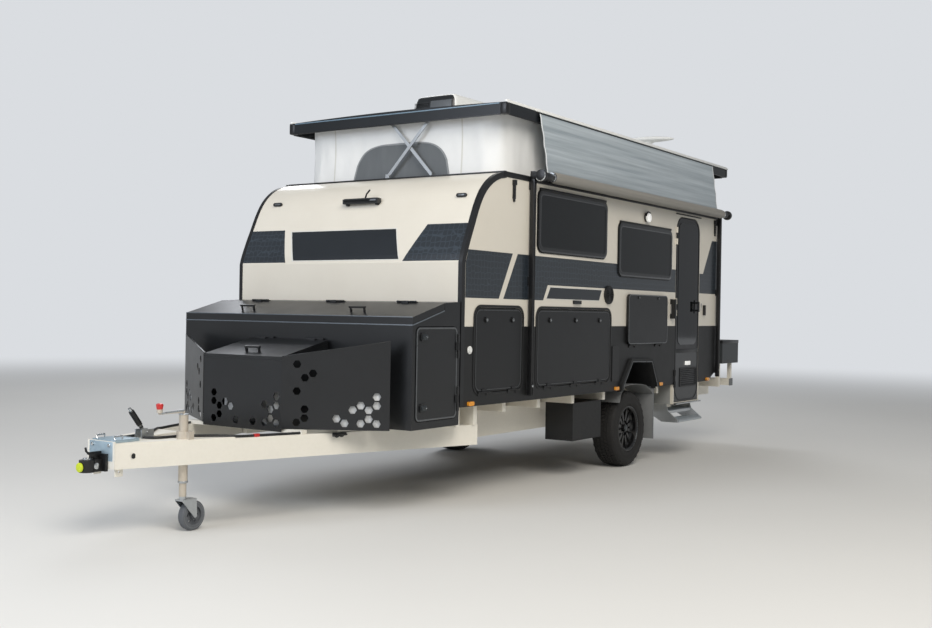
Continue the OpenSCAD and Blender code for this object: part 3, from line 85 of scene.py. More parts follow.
def piece(name, points, faces, material, body=ROOT, bevel=0.0, smooth=False):
    """One mesh from drawing points, riding on a body. The bevel is in millimetres."""
    mesh = bpy.data.meshes.new(name)
    mesh.from_pydata([tuple(at(*p)) for p in points], [], faces)
    bm = bmesh.new()
    bm.from_mesh(mesh)
    bmesh.ops.remove_doubles(bm, verts=bm.verts, dist=1e-6)
    bmesh.ops.recalc_face_normals(bm, faces=bm.faces)
    if bevel:
        sharp = [e for e in bm.edges if e.is_manifold and e.calc_face_angle() > ROUND_ABOVE]
        bmesh.ops.bevel(bm, geom=sharp, offset=bevel / 1000, segments=2, profile=0.5,
                        affect="EDGES", clamp_overlap=True)
    bm.to_mesh(mesh)
    bm.free()
    mesh.materials.append(material)
    if smooth or bevel:
        mesh.polygons.foreach_set("use_smooth", [True] * len(mesh.polygons))
        mesh.set_sharp_from_angle(angle=SHARP_ABOVE)
    obj = bpy.data.objects.new(name, mesh)
    bpy.context.scene.collection.objects.link(obj)
    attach(obj, body)
    return obj


def prism(name, outline, depth, material, body=ROOT, bevel=1.0):
    """A closed plate: the outline's points and the same points moved by depth."""
    n = len(outline)
    points = list(outline) + [tuple(a + b for a, b in zip(p, depth)) for p in outline]
    faces = [tuple(range(n - 1, -1, -1)), tuple(range(n, 2 * n))]
    faces += [(i, (i + 1) % n, n + (i + 1) % n, n + i) for i in range(n)]
    return piece(name, points, faces, material, body, bevel)


def box(name, low, high, material, body=ROOT, bevel=2.0):
    """A rounded block between two corners."""
    x0, y0, z0 = low
    x1, y1, z1 = high
    ring = [(x0, y0, z0), (x1, y0, z0), (x1, y1, z0), (x0, y1, z0)]
    return prism(name, ring, (0, 0, z1 - z0), material, body, bevel)


def side_box(name, side, low, high, material, body=ROOT, bevel=2.0):
    """A block on one side of the body, whose y values count outwards from the middle."""
    y0, y1 = sorted((side * low[1], side * high[1]))
    return box(name, (low[0], y0, low[2]), (high[0], y1, high[2]), material, body, bevel)


def ring_plate(name, outer, inner, depth, material, body=ROOT, bevel=1.0):
    """A flat frame between two outlines with the same number of points."""
    n = len(outer)
    points = []
    for loop in (outer, inner):
        points += list(loop) + [tuple(a + b for a, b in zip(p, depth)) for p in loop]
    faces = []
    for i in range(n):
        j = (i + 1) % n
        faces += [(i, j, n + j, n + i), (2 * n + j, 2 * n + i, 3 * n + i, 3 * n + j),
                  (j, i, 2 * n + i, 2 * n + j), (n + i, n + j, 3 * n + j, 3 * n + i)]
    return piece(name, points, faces, material, body, bevel)


def rounded(a0, b0, a1, b1, r, steps=6):
    """A rectangle with round corners in two coordinates."""
    loop = []
    corners = ((a1 - r, b1 - r, 0), (a0 + r, b1 - r, 90), (a0 + r, b0 + r, 180), (a1 - r, b0 + r, 270))
    for ca, cb, start in corners:
        for k in range(steps + 1):
            t = math.radians(start + 90 * k / steps)
            loop.append((ca + r * math.cos(t), cb + r * math.sin(t)))
    return loop


def on_side(loop, y):
    """An outline in x and z, stood up at y."""
    return [(a, y, b) for a, b in loop]


def side_frame(name, low, high, width, radii, y, thick, material, body=ROOT, bevel=1.0, steps=6):
    """A flat frame on a side face: its corners in x and z, width and two corner radii."""
    (x0, z0), (x1, z1) = low, high
    outer = rounded(x0, z0, x1, z1, radii[0], steps)
    inner = rounded(x0 + width, z0 + width, x1 - width, z1 - width, radii[1], steps)
    return ring_plate(name, on_side(outer, y), on_side(inner, y), (0, thick, 0), material, body, bevel)


def circle(centre, axis, radii, steps):
    """Points round a centre, across the axis of that letter. Two radii make an ellipse."""
    a, b = {"x": (1, 2), "y": (0, 2), "z": (0, 1)}[axis]
    loop = []
    for k in range(steps):
        t = 2 * math.pi * k / steps
        p = list(centre)
        p[a] += radii[0] * math.cos(t)
        p[b] += radii[1] * math.sin(t)
        loop.append(tuple(p))
    return loop


def tube(name, path, radius, material, body=ROOT, sides=12, closed=False):
    """A round bar or cable along drawing points, as a mesh."""
    pts = [Vector(p) for p in path]
    n = len(pts)
    points, faces = [], []
    up = Vector((0, 0, 1))
    for i, p in enumerate(pts):
        a = pts[(i - 1) % n] if closed or i else p
        b = pts[(i + 1) % n] if closed or i < n - 1 else p
        t = (b - a).normalized()
        side = t.cross(up)
        side = side.normalized() if side.length > 1e-3 else t.cross(Vector((1, 0, 0))).normalized()
        top = side.cross(t)
        for k in range(sides):
            c = 2 * math.pi * k / sides
            points.append(tuple(p + radius * (math.cos(c) * side + math.sin(c) * top)))
    for i in range(n if closed else n - 1):
        for k in range(sides):
            j, m = (i + 1) % n, (k + 1) % sides
            faces.append((i * sides + k, i * sides + m, j * sides + m, j * sides + k))
    if not closed:
        faces += [tuple(range(sides - 1, -1, -1)), tuple(range((n - 1) * sides, n * sides))]
    return piece(name, points, faces, material, body, smooth=True)


def disc(name, centre, axis, radius, depth, material, body=ROOT, steps=32, bevel=1.0):
    """A round plate: centre of its near face, the axis letter, radius and signed depth."""
    d = [0, 0, 0]
    d["xyz".index(axis)] = depth
    return prism(name, circle(centre, axis, (radius, radius), steps), tuple(d), material, body, bevel)


print("mesh helpers ready")

# %% [markdown]
# ## Colours and surfaces
# Colours are given in sRGB and the shaders work in linear light, so one
# function turns them. Nothing on a vehicle is one flat colour: paint mottles, dust
# settles and handling polishes. Each surface mixes two close colours with a noise of a
# real size, swings its roughness and has a fine bump. The noise runs in the scene's own
# metres, so the grain has the same size on every piece.

# %% Colour and node helpers
def srgb(code):
    """A colour such as #1E1F21 in linear light."""
    values = [int(code[i:i + 2], 16) / 255 for i in (1, 3, 5)]
    return tuple(v / 12.92 if v <= 0.04045 else ((v + 0.055) / 1.055) ** 2.4 for v in values) + (1.0,)


def add(tree, kind, inputs=None, **settings):
    """One node with its settings, fixed inputs and links."""
    made = tree.nodes.new(kind)
    for key, value in settings.items():
        setattr(made, key, value)
    for key, value in (inputs or {}).items():
        if isinstance(value, bpy.types.NodeSocket):
            tree.links.new(value, made.inputs[key])
        else:
            made.inputs[key].default_value = value
    return made


def surface(name, shade, tint, grain_mm, rough, swing=0.05, bump_mm=0.0, stretch=(1, 1, 1), detail=4.0,
            **shader):
    """A material whose colour runs between shade and tint over patches of grain_mm."""
    made = bpy.data.materials.new(name)
    made.use_nodes = True
    tree = made.node_tree
    skin = tree.nodes["Principled BSDF"]
    for key, value in shader.items():
        skin.inputs[key.replace("_", " ")].default_value = value
    place = add(tree, "ShaderNodeTexCoord")
    scaled = add(tree, "ShaderNodeMapping", {"Vector": place.outputs["Object"], "Scale": stretch})
    cloud = add(tree, "ShaderNodeTexNoise", {"Vector": scaled.outputs["Vector"], "Scale": 1000 / grain_mm,
                                             "Detail": detail, "Roughness": 0.6})
    blend = add(tree, "ShaderNodeMix", {"Factor": cloud.outputs["Fac"], 6: srgb(shade), 7: srgb(tint)},
                data_type="RGBA")
    tree.links.new(blend.outputs[2], skin.inputs["Base Color"])
    polish = add(tree, "ShaderNodeMapRange", {"Value": cloud.outputs["Fac"],
                                              "To Min": max(rough - swing, 0.02),
                                              "To Max": min(rough + swing, 1.0)})
    tree.links.new(polish.outputs["Result"], skin.inputs["Roughness"])
    if bump_mm:
        fine = add(tree, "ShaderNodeTexNoise", {"Vector": scaled.outputs["Vector"], "Scale": 9000 / grain_mm,
                                                "Detail": 3.0})
        relief = add(tree, "ShaderNodeBump", {"Height": fine.outputs["Fac"], "Strength": 0.35,
                                              "Distance": bump_mm / 1000})
        tree.links.new(relief.outputs["Normal"], skin.inputs["Normal"])
    return made


def parts_of(material):
    """The tree, the shader and the node that gives the place on the object."""
    tree = material.node_tree
    return tree, tree.nodes["Principled BSDF"], tree.nodes["Texture Coordinate"]


def over_colour(material, mask, colour):
    """Lays a second colour over the first one where mask is 1."""
    tree, skin, _ = parts_of(material)
    below = skin.inputs["Base Color"].links[0].from_socket
    blend = add(tree, "ShaderNodeMix", {"Factor": mask, 6: below, 7: srgb(colour)}, data_type="RGBA")
    tree.links.new(blend.outputs[2], skin.inputs["Base Color"])


def recolour(material, colour, axis, limit, test="LESS_THAN", normal=None):
    """Another colour where one coordinate, or one part of that normal, passes a limit."""
    tree, _, place = parts_of(material)
    source = add(tree, "ShaderNodeNewGeometry").outputs[normal] if normal else place.outputs["Object"]
    split = add(tree, "ShaderNodeSeparateXYZ", {"Vector": source})
    past = add(tree, "ShaderNodeMath", {0: split.outputs[axis], 1: limit}, operation=test)
    over_colour(material, past.outputs["Value"], colour)


def wear(names, material):
    """Those solids of the drawing get the material as their only one."""
    for name in names:
        slots = nodes[name].data.materials
        slots.clear()
        slots.append(material)
        nodes[name].data.polygons.foreach_set("material_index", [0] * len(nodes[name].data.polygons))


print("dark grey", [round(v, 4) for v in srgb("#1E1F21")])

# %% [markdown]
# ## The body's panels
# The walls are composite sheets with a glossy cream gelcoat. Under the belt line they
# carry powder-coated aluminium cladding, nearly black. Gelcoat is clear over pigment,
# so a thin coat layer gives the sharp highlight over a softer base.

# %% Gelcoat and cladding
gelcoat = surface("cream_gelcoat", "#D2CCBF", "#DBD6CA", 420, 0.34, 0.04, 0.10, IOR=1.5, Coat_Weight=0.35,
                  Coat_Roughness=0.12)
cladding = surface("powder_coated_aluminium", "#0F1011", "#151617", 160, 0.46, 0.06, 0.12, IOR=1.5)
wear(["wall_left", "wall_right", "wall_front", "wall_rear", "body_top"], gelcoat)
wear(["lower_cladding"], cladding)

# The hatches and the table take a slightly smoother coat than the cladding
leaf_coat = surface("satin_coated_aluminium", "#0B0C0D", "#111214", 200, 0.38, 0.05, 0.08, IOR=1.5)
wear(["boot_hatch_left", "boot_hatch_right", "kitchen_hatch", "picnic_table"], leaf_coat)
print(gelcoat.name, cladding.name, leaf_coat.name)

# %% [markdown]
# The boxes in front are welded sheet steel with a satin black powder coat. Melted
# powder leaves a soft unevenness, about 30 mm from crest to crest, which breaks up
# the highlights on such large flat faces.

# %% Powder-coated front boxes
box_coat = surface("satin_powder_coat", "#0E0F10", "#15171A", 300, 0.36, 0.06, 0.25, IOR=1.5,
                   Coat_Weight=0.15, Coat_Roughness=0.3)
wear(["toolbox", "toolbox_lid", "toolbox_door_left", "toolbox_door_right", "gas_box", "gas_box_lid",
      "stone_guard"], box_coat)
print(box_coat.name, "on the front boxes")

# %% [markdown]
# ## Metals
# The frame is steel with a pale zinc-rich coating, dull and mottled. Zinc crystals
# show as patches about 25 mm wide. The coupling and the brake parts are black, the
# jockey stand is bright zinc plate and the lift arms are mill-finished steel.

# %% Frame, coupling, stand and arms
frame_zinc = surface("hot_dip_galvanised_steel", "#DCD8CC", "#E7E3D8", 260, 0.45, 0.06, 0.1, Metallic=0.1)
tree, skin, place = parts_of(frame_zinc)
crystals = add(tree, "ShaderNodeTexVoronoi", {"Vector": place.outputs["Object"], "Scale": 1000 / 25})
pale = add(tree, "ShaderNodeMapRange", {"Value": crystals.outputs["Distance"], "From Max": 0.7, "To Min": 0.0,
                                        "To Max": 0.12})
over_colour(frame_zinc, pale.outputs["Result"], "#F2EFE6")
wear(["chassis", "cross_members", "drawbar", "chain_plates", "rear_carrier"], frame_zinc)

black_steel = surface("black_painted_steel", "#0D0D0E", "#171718", 40, 0.42, 0.1, 0.15, IOR=1.5)
wear(["coupling", "suspension_left", "suspension_right"], black_steel)
bright_zinc = surface("bright_zinc_plate", "#A9ADB0", "#C6CACC", 30, 0.30, 0.08, 0.05, Metallic=0.9)
wear(["jockey_fork", "handbrake"], bright_zinc)
warm_zinc = surface("yellowed_zinc_plate", "#BDB3A4", "#D3CABC", 45, 0.36, 0.08, 0.08, Metallic=0.45)
wear(["jockey_leg"], warm_zinc)
arm_metal = surface("mill_finished_steel", "#A8ABAD", "#C0C3C5", 25, 0.38, 0.08, 0.05, (1, 0.1, 0.1),
                    Metallic=0.85)
wear(["lift_arm_front_a", "lift_arm_front_b", "lift_arm_rear_a", "lift_arm_rear_b", "lift_seats"], arm_metal)
black_anodised = surface("black_anodised_aluminium", "#0E0F11", "#17181A", 50, 0.36, 0.05, 0.04,
                         (0.2, 1, 1), IOR=1.5)
wear(["awning_arms"], black_anodised)
clear_anodised = surface("clear_anodised_aluminium", "#C3C7CA", "#D8DBDD", 35, 0.34, 0.07, 0.04, (0.1, 1, 1),
                         Metallic=0.85)
wear(["entry_step"], clear_anodised)
print(len(bpy.data.materials), "materials so far")

# %% [markdown]
# ## Rubber and plastics
# Tyre rubber is a dull warm black that greys with dust. The tanks and the rear box are
# moulded polyethylene with a pebbled skin of about 4 mm, and the rims are cast alloy
# with a satin black paint that stays smoother than all of these.

# %% Rubber, moulded plastics and rims
tyre_rubber = surface("tyre_rubber", "#131314", "#222120", 70, 0.78, 0.08, 0.3, IOR=1.52)
flap_rubber = surface("grey_flap_rubber", "#66696B", "#74787B", 120, 0.6, 0.08, 0.2, IOR=1.52)
# The same solid holds the arch rims outside the wall, which are black
tree, skin, place = parts_of(flap_rubber)
spot = add(tree, "ShaderNodeSeparateXYZ", {"Vector": place.outputs["Object"]})
from_middle = add(tree, "ShaderNodeMath", {0: spot.outputs["Y"], 1: at(0, 0, 0).y}, operation="SUBTRACT")
distance = add(tree, "ShaderNodeMath", {0: from_middle.outputs["Value"]}, operation="ABSOLUTE")
outside = add(tree, "ShaderNodeMath", {0: distance.outputs["Value"], 1: 1.151}, operation="GREATER_THAN")
over_colour(flap_rubber, outside.outputs["Value"], "#17191B")
wear(["mud_guards"], flap_rubber)
moulded = surface("pebbled_polyethylene", "#111213", "#1B1C1E", 36, 0.55, 0.08, 0.35, IOR=1.51)
wear(["under_boxes", "wheel_boxes", "locker_liners"], moulded)
grey_moulded = surface("grey_polyethylene", "#33373A", "#3D4144", 36, 0.5, 0.07, 0.3, IOR=1.51)
wear(["rear_box"], grey_moulded)
rim_paint = surface("satin_black_cast_alloy", "#0C0C0D", "#161617", 30, 0.32, 0.06, 0.06, IOR=1.5,
                    Coat_Weight=0.3, Coat_Roughness=0.2)
wear(["rim_left", "rim_right", "spare_rim"], rim_paint)
seal_rubber = surface("edge_seal_rubber", "#08090A", "#111213", 50, 0.5, 0.08, 0.1, IOR=1.52)
fitting_abs = surface("textured_abs", "#101112", "#191A1C", 30, 0.45, 0.06, 0.15, IOR=1.53)
wear(["side_fittings", "window_frames"], fitting_abs)
white_abs = surface("white_abs", "#D9DAD8", "#E6E7E5", 60, 0.38, 0.05, 0.08, IOR=1.53)
birch_ply = surface("coated_birch_ply", "#7A6A50", "#9A8767", 90, 0.6, 0.08, 0.15, (0.15, 1, 1))
# Below the floor the same solid is the pale coated tray under the door
FLOOR_UNDERSIDE = 759
recolour(birch_ply, "#8F9190", "Z", FLOOR_UNDERSIDE / 1000)
wear(["cabin_floor"], birch_ply)

# %% [markdown]
# ## Panes
# The windows are tinted acrylic, so dark that they read as black mirrors from outside.
# Acrylic refracts at 1.49. So little light comes back through them that they are
# drawn opaque, and the gloss does the work.

# %% Tinted acrylic
acrylic = surface("tinted_acrylic", "#050708", "#0A0E10", 400, 0.05, 0.02, IOR=1.49)
wear(["window_glass", "door_glass"], acrylic)
print("panes in", acrylic.name)

# %% [markdown]
# ## The roof and the door
# The roof is one solid in the drawing, but two finishes in life: a white moulded top
# and a black extrusion round its edge. The normal tells them apart: faces that look up
# are white. The door is dark above and a lighter grey on its lower panel.

# %% Roof and door
roof_skin = surface("white_moulded_roof", "#D4D5D2", "#E2E3E0", 300, 0.36, 0.05, 0.12, IOR=1.5)
recolour(roof_skin, "#101418", "Z", 0.5, normal="True Normal")
wear(["roof"], roof_skin)

DOOR_PANEL_TOP = 1105
door_skin = surface("graphite_door_skin", "#101113", "#17181B", 220, 0.36, 0.05, 0.08, IOR=1.5)
recolour(door_skin, "#3A3C3E", "Z", DOOR_PANEL_TOP / 1000)
wear(["entry_door"], door_skin)

# %% [markdown]
# ## Lamps
# Side markers are amber and the tail lamps red, both clear coloured acrylic over a
# ribbed mirror. The ribs, nearly 10 mm apart, are drawn in the bump. Where the lamp
# sits tells its colour, because the drawing keeps all lamps as one piece.

# %% Lamp lenses
lens = surface("amber_and_red_lens", "#D98A1C", "#EFA22C", 20, 0.16, 0.04, IOR=1.49, Coat_Weight=0.5)
REAR_LAMPS_X, RIB_PITCH = 5100, 9.87
recolour(lens, "#8E0F0C", "X", at(REAR_LAMPS_X, 0, 0).x, "GREATER_THAN")
tree, skin, place = parts_of(lens)
# The wave texture has 20 radians a unit at a scale of 1
waves = 1000 / RIB_PITCH * 2 * math.pi / 20
ribs = add(tree, "ShaderNodeTexWave", {"Vector": place.outputs["Object"], "Scale": waves},
           bands_direction="Z")
ribbed = add(tree, "ShaderNodeBump", {"Height": ribs.outputs["Fac"], "Strength": 0.5, "Distance": 0.001})
tree.links.new(ribbed.outputs["Normal"], skin.inputs["Normal"])
wear(["marker_lamps"], lens)
print(len(bpy.data.materials), "materials so far")

# %% [markdown]
# ## Film stripes
# The dark bands are printed vinyl film, 0.2 mm thick in life. Drawn 1 mm proud they keep
# a crisp edge, and they could also be painted by position, but film has its own gloss.
# The film shows a field of cells about 46 mm wide with pale hairlines, which a Voronoi
# texture gives when it is read as the distance to the nearest cell edge.

# %% Film material
HALF, BODY_Z1, BODY_LEN, BELT, CLAD = 1150, 2585, 5170, 1365, 3
film = surface("printed_vinyl_film", "#1B2127", "#232A31", 500, 0.32, 0.05, IOR=1.5, Coat_Weight=0.3)
tree, skin, place = parts_of(film)
cell = {"Vector": place.outputs["Object"], "Scale": 1000 / 46, "Randomness": 0.35}
edge = add(tree, "ShaderNodeTexVoronoi", cell, feature="DISTANCE_TO_EDGE")
line = add(tree, "ShaderNodeMapRange", {"Value": edge.outputs["Distance"], "From Min": 0.03, "From Max": 0.09,
                                        "To Min": 0.6, "To Max": 0.0})
over_colour(film, line.outputs["Result"], "#39434C")
plain_film = surface("plain_dark_film", "#14191E", "#1A2026", 400, 0.3, 0.05, IOR=1.5, Coat_Weight=0.3)
pale_film = surface("pale_edge_film", "#C9C8C2", "#D3D2CC", 300, 0.35, 0.05, IOR=1.5)
FILM = 1.0
print("film stands", FILM, "mm proud")


def side_film(name, outline, side=-1, material=film):
    """A sheet of film on a side wall, from its outline in x and z."""
    y = side * HALF
    return prism(name, [(x, y, z) for x, z in outline], (0, side * FILM, 0), material, bevel=0)


# %% [markdown]
# On the side a tall block starts at the raked front edge, a pale slanted gap cuts it,
# and the band then runs back over the windows' lower half, rises to a step behind the
# door and ends in a tall corner block. Both sides carry the same design.

# %% Side stripes
# The front's outline: distance back, drop below the top, with a smooth curve between
RAKE_ROWS = [(0, 905), (0, 735), (62, 565), (117, 445), (185, 297), (259, 180), (356, 90), (470, 29),
             (600, 0), (740, 0)]


def curve_point(a, b, c, d, t):
    """The point at t between b and c on a smooth curve through a, b, c and d."""
    square, cube = 2 * a - 5 * b + 4 * c - d, 3 * b - a - 3 * c + d
    return 0.5 * (2 * b + (c - a) * t + square * t * t + cube * t ** 3)


RAKE = []
for i in range(1, 8):
    for k in range(3):
        RAKE.append(tuple(curve_point(*(RAKE_ROWS[i + j][n] for j in (-1, 0, 1, 2)), k / 3) for n in (0, 1)))
RAKE.append((600, 0))
TOP, LOW, THIN = 1948, 1583, 1712
FRONT_EDGE = 52


def rake_x(z):
    """The body's front edge in side view, at height z."""
    drop = BODY_Z1 - z
    for (x0, d0), (x1, d1) in zip(RAKE, RAKE[1:]):
        if d1 <= drop <= d0:
            return x0 + (x1 - x0) * (d0 - drop) / (d0 - d1)
    return 0.0


left_windows = [(1100, 2350, 1983, 2500), (2595, 3815, 1835, 2342)]
right_windows = [(1100, 2350, 1983, 2500), (3300, 4520, 1835, 2342)]
band = {-1: [(799, TOP), (2608, TOP), (2608, 1880), (2640, 1848), (3770, 1848), (3802, 1880), (3802, TOP),
             (3940, TOP), (3940, THIN), (1290, THIN), (1216, LOW), (590, LOW)],
        1: [(799, TOP), (3313, TOP), (3313, 1880), (3345, 1848), (4475, 1848), (4507, 1880), (4507, TOP),
            (4600, TOP), (4600, THIN), (1290, THIN), (1216, LOW), (590, LOW)]}
for side, word in SIDES:
    nose = [(rake_x(TOP) + FRONT_EDGE, TOP), (722, TOP), (522, LOW), (FRONT_EDGE, LOW), (FRONT_EDGE, 1850)]
    side_film(f"front_block_{word}", nose, side)
    side_film(f"side_band_{word}", band[side], side)
    start = 4578 if side < 0 else 4610
    tail = [(start, 1717), (BODY_LEN - 40, 1717), (BODY_LEN - 40, 2304), (4919, 2304), (4676, 1930),
            (start, 1930)]
    side_film(f"rear_block_{word}", tail, side)
    # The bare plate under the band: a dark field in a pale line
    side_film(f"side_plate_line_{word}", [(1330, 1700), (2290, 1700), (2235, 1592), (1262, 1592)], side,
              pale_film)
    y = side * (HALF + FILM)
    field = [(1336, 1693), (2278, 1693), (2229, 1599), (1275, 1599)]
    prism(f"side_plate_{word}", on_side(field, y), (0, side * 0.6, 0), plain_film, bevel=0)

# %% [markdown]
# The front wall bends back in steps, so a band there has to bend with it. Each piece
# is built in rows up the wall: the rows' two ends follow the piece's slanted sides.

# %% Front stripes
def rake_out(z, out):
    """A point on the front wall at height z, moved outwards, as (x, z)."""
    a, b = rake_x(z - 4), rake_x(z + 4)
    run = Vector((b - a, 8)).normalized()
    return rake_x(z) - out * run.y, z + out * run.x


def front_band(name, z0, z1, left, right, material, out=FILM, body=ROOT):
    """left and right give y at the bottom and at the top of the band."""
    levels = sorted({z0, z1} | {BODY_Z1 - d for _, d in RAKE if z0 < BODY_Z1 - d < z1}
                    | {z0 + (z1 - z0) * k / 8 for k in range(9)})
    points, faces = [], []
    for z in levels:
        t = (z - z0) / (z1 - z0)
        ya, yb = left[0] + (left[1] - left[0]) * t, right[0] + (right[1] - right[0]) * t
        for depth in (0, out):
            x, h = rake_out(z, depth)
            points += [(x, ya, h), (x, yb, h)]
    n = len(levels)
    for i in range(n - 1):
        a, b = 4 * i, 4 * (i + 1)
        faces += [(a, a + 1, b + 1, b), (a + 2, b + 2, b + 3, a + 3), (a, b, b + 2, a + 2),
                  (a + 1, a + 3, b + 3, b + 1)]
    faces += [(0, 2, 3, 1), (4 * n - 4, 4 * n - 3, 4 * n - 1, 4 * n - 2)]
    return piece(name, points, faces, material, body)


EDGE_Y = HALF - 30
front_band("front_stripe_far", 1861, 2140, (632, 745), (EDGE_Y, EDGE_Y), film)
front_band("front_stripe_near", 1861, 2150, (-EDGE_Y, -EDGE_Y), (-590, -742), film)
front_band("front_plate_line", 1870, 2128, (-560, -452), (560, 672), pale_film)
front_band("front_plate", 1877, 2121, (-549, -445), (547, 655), plain_film, out=1.6)

# %% [markdown]
# ## Corner mouldings and rails
# Black aluminium extrusions close every corner of the body. Over the raked front they
# are bent to the panel's curve, so each is swept: the same cross-section stands at
# every point of the edge. A second rail runs round the top under the canvas.

# %% Mouldings
CURVE_FROM = 1850  # the front wall is nearly straight below this height


def rake_path(z0, straight_step=40, curve_step=24):
    """Points up the front edge, closer together where it curves."""
    count = int((CURVE_FROM - z0) / straight_step) + 1
    levels = [z0 + k * straight_step for k in range(count)] + [CURVE_FROM + k * curve_step for k in range(31)]
    path = [rake_out(z, 0) for z in levels if z < BODY_Z1 - 4]
    return path + [(600, BODY_Z1)]


def corner_moulding(name, side):
    """An angle that covers the corner: one leg on the side wall, one on the front."""
    path = rake_path(765)
    smooth_path = []
    for i, p in enumerate(path):
        a, b = path[max(i - 1, 0)], path[min(i + 1, len(path) - 1)]
        run = Vector((b[0] - a[0], b[1] - a[1])).normalized()
        smooth_path.append((p, run))
    points, faces = [], []
    for (x, z), run in smooth_path:
        inward = Vector((run.y, -run.x))
        section = [(-3.0, 5.0), (44.0, 4.0), (44.0, 0.2), (0.2, 0.2), (0.2, -30.0), (-3.0, -30.0)]
        for deep, out in section:
            points.append((x + inward.x * deep, side * (HALF + out), z + inward.y * deep))
    n, m = len(smooth_path), 6
    for i in range(n - 1):
        for k in range(m):
            j = (k + 1) % m
            faces.append((i * m + k, i * m + j, (i + 1) * m + j, (i + 1) * m + k))
    faces += [tuple(range(m)), tuple(range(n * m - 1, (n - 1) * m - 1, -1))]
    return piece(name, points, faces, black_anodised, smooth=True)


for side, word in SIDES:
    corner_moulding(f"front_moulding_{word}", side)
    side_box(f"top_rail_{word}", side, (560, HALF - 2, 2548), (BODY_LEN + 3, HALF + 6, 2592), black_anodised)
    side_box(f"rear_post_{word}", side, (BODY_LEN - 38, HALF - 2, BELT + 3), (BODY_LEN + 5, HALF + 6, 2548),
             black_anodised)
    side_box(f"rear_post_back_{word}", side, (BODY_LEN + 0.5, HALF - 34, BELT + 3),
             (BODY_LEN + 6, HALF + 6, 2590), black_anodised)
box("top_rail_front", (585, -HALF, 2585), (612, HALF, 2597), black_anodised)
box("top_rail_rear", (BODY_LEN - 10, -HALF, 2560), (BODY_LEN + 6, HALF, 2596), black_anodised)
# The gutter that the canvas is keyed into
for side, word in SIDES:
    side_box(f"canvas_gutter_{word}", side, (890, 1056, BODY_Z1), (4860, 1070, BODY_Z1 + 15), black_anodised)
box("canvas_gutter_front", (672, -850, 2585), (686, 850, 2600), black_anodised)
box("belt_line_rear", (BODY_LEN + 3, -HALF, BELT - 5), (BODY_LEN + 8, HALF, BELT + 15), black_anodised)

# %% [markdown]
# ## Windows
# Each window is a hinged acrylic pane on a black rubber seal. Under the outer edge runs
# a raised border where the second skin of the pane is bonded, and a hinge rail closes
# the top. Both stand a few millimetres proud and break the mirror of the pane.

# %% Window borders
PANE = 12
border_grey = surface("printed_pane_border", "#0B0D0E", "#121415", 120, 0.22, 0.05, IOR=1.49, Coat_Weight=0.4)


BORDER, BORDER_THICK = 42, 2.2


def dress_window(name, x0, x1, z0, z1, side):
    """The raised border, the rubber seal and the hinge rail of one side window."""
    side_frame(f"{name}_border", (x0, z0), (x1, z1), BORDER, (70, 42), side * (HALF + PANE),
               side * BORDER_THICK, border_grey, bevel=0.8)
    side_frame(f"{name}_seal", (x0 - 9, z0 - 9), (x1 + 9, z1 + 9), 8, (79, 71), side * HALF, side * 7,
               seal_rubber, bevel=1.5)
    side_box(f"{name}_rail", side, (x0 + 25, HALF, z1 - 6), (x1 - 25, HALF + 16, z1 + 16), seal_rubber,
             bevel=3)


for side, word in SIDES:
    for k, (x0, x1, z0, z1) in enumerate(left_windows if side < 0 else right_windows):
        dress_window(f"window_{word}_{k + 1}", x0, x1, z0, z1, side)
rear_x = BODY_LEN + PANE
ring_plate("window_rear_border", [(rear_x, a, b) for a, b in rounded(-500, 1880, 500, 2340, 70)],
           [(rear_x, a, b) for a, b in rounded(-458, 1922, 458, 2298, 42)], (BORDER_THICK, 0, 0),
           border_grey, bevel=0.8)

# %% [markdown]
# ## Hatches, table and door
# Compartment doors sit in thin black frames with a rubber lip, and a pale painted
# highlight runs round the inside of each frame. A press lock is a polished dish with a
# small round key barrel. The door has a rounded border round its tall pane, a louvre for
# fixed ventilation, a courtesy lamp and a bright sill.

# %% Hatch frames and locks
polished = surface("polished_stainless_steel", "#B9BCBE", "#CDD0D2", 15, 0.18, 0.06, Metallic=0.95)
# Grey metal for the lock dishes and marker lenses; on the hatch, table, toolbox door and arch edges this pale
# grey is a painted highlight
lip_light = surface("grey_metal_and_painted_edge_highlight", "#5A5D5F", "#74777A", 60, 0.3, 0.08, 0.05, Metallic=0.6)
HATCH_Z, LOCK_Z = (862, 1507), 1417
HATCHES = [("boot_left", 190, 880, -1, "boot_flap_left", 2),
           ("boot_right", 190, 880, 1, "boot_flap_right", 2), ("kitchen", 1120, 2455, -1, "kitchen_flap", 3)]
for name, x0, x1, side, body, locks in HATCHES:
    y = side * (HALF + CLAD)
    z0, z1 = HATCH_Z
    side_frame(f"{name}_frame", (x0, z0), (x1, z1), 13, (70, 57), y, side * 3, seal_rubber, body, 1)
    # The pale ring inside each frame is a painted highlight along the hatch's rim
    side_frame(f"{name}_edge", (x0 + 13, z0 + 13), (x1 - 13, z1 - 13), 4, (57, 53), y, side * 2,
               lip_light, body, 0.6)
    # Outer lip on the wall, over the belt line too
    side_frame(f"{name}_surround", (x0 - 26, z0 - 26), (x1 + 26, z1 + 26), 20, (96, 76), y, side * 4,
               cladding, ROOT, 1.2)
    for k in range(locks):
        x = x0 + (x1 - x0) * (0.22 + 0.56 * k if locks == 2 else 0.16 + 0.34 * k)
        disc(f"{name}_lock_{k + 1}", (x, y + side * 10, LOCK_Z), "y", 15, side * 2.5, lip_light, body, 28)
        disc(f"{name}_key_{k + 1}", (x, y + side * 12.5, LOCK_Z), "y", 6, side * 2, polished, body, 20, 0.6)
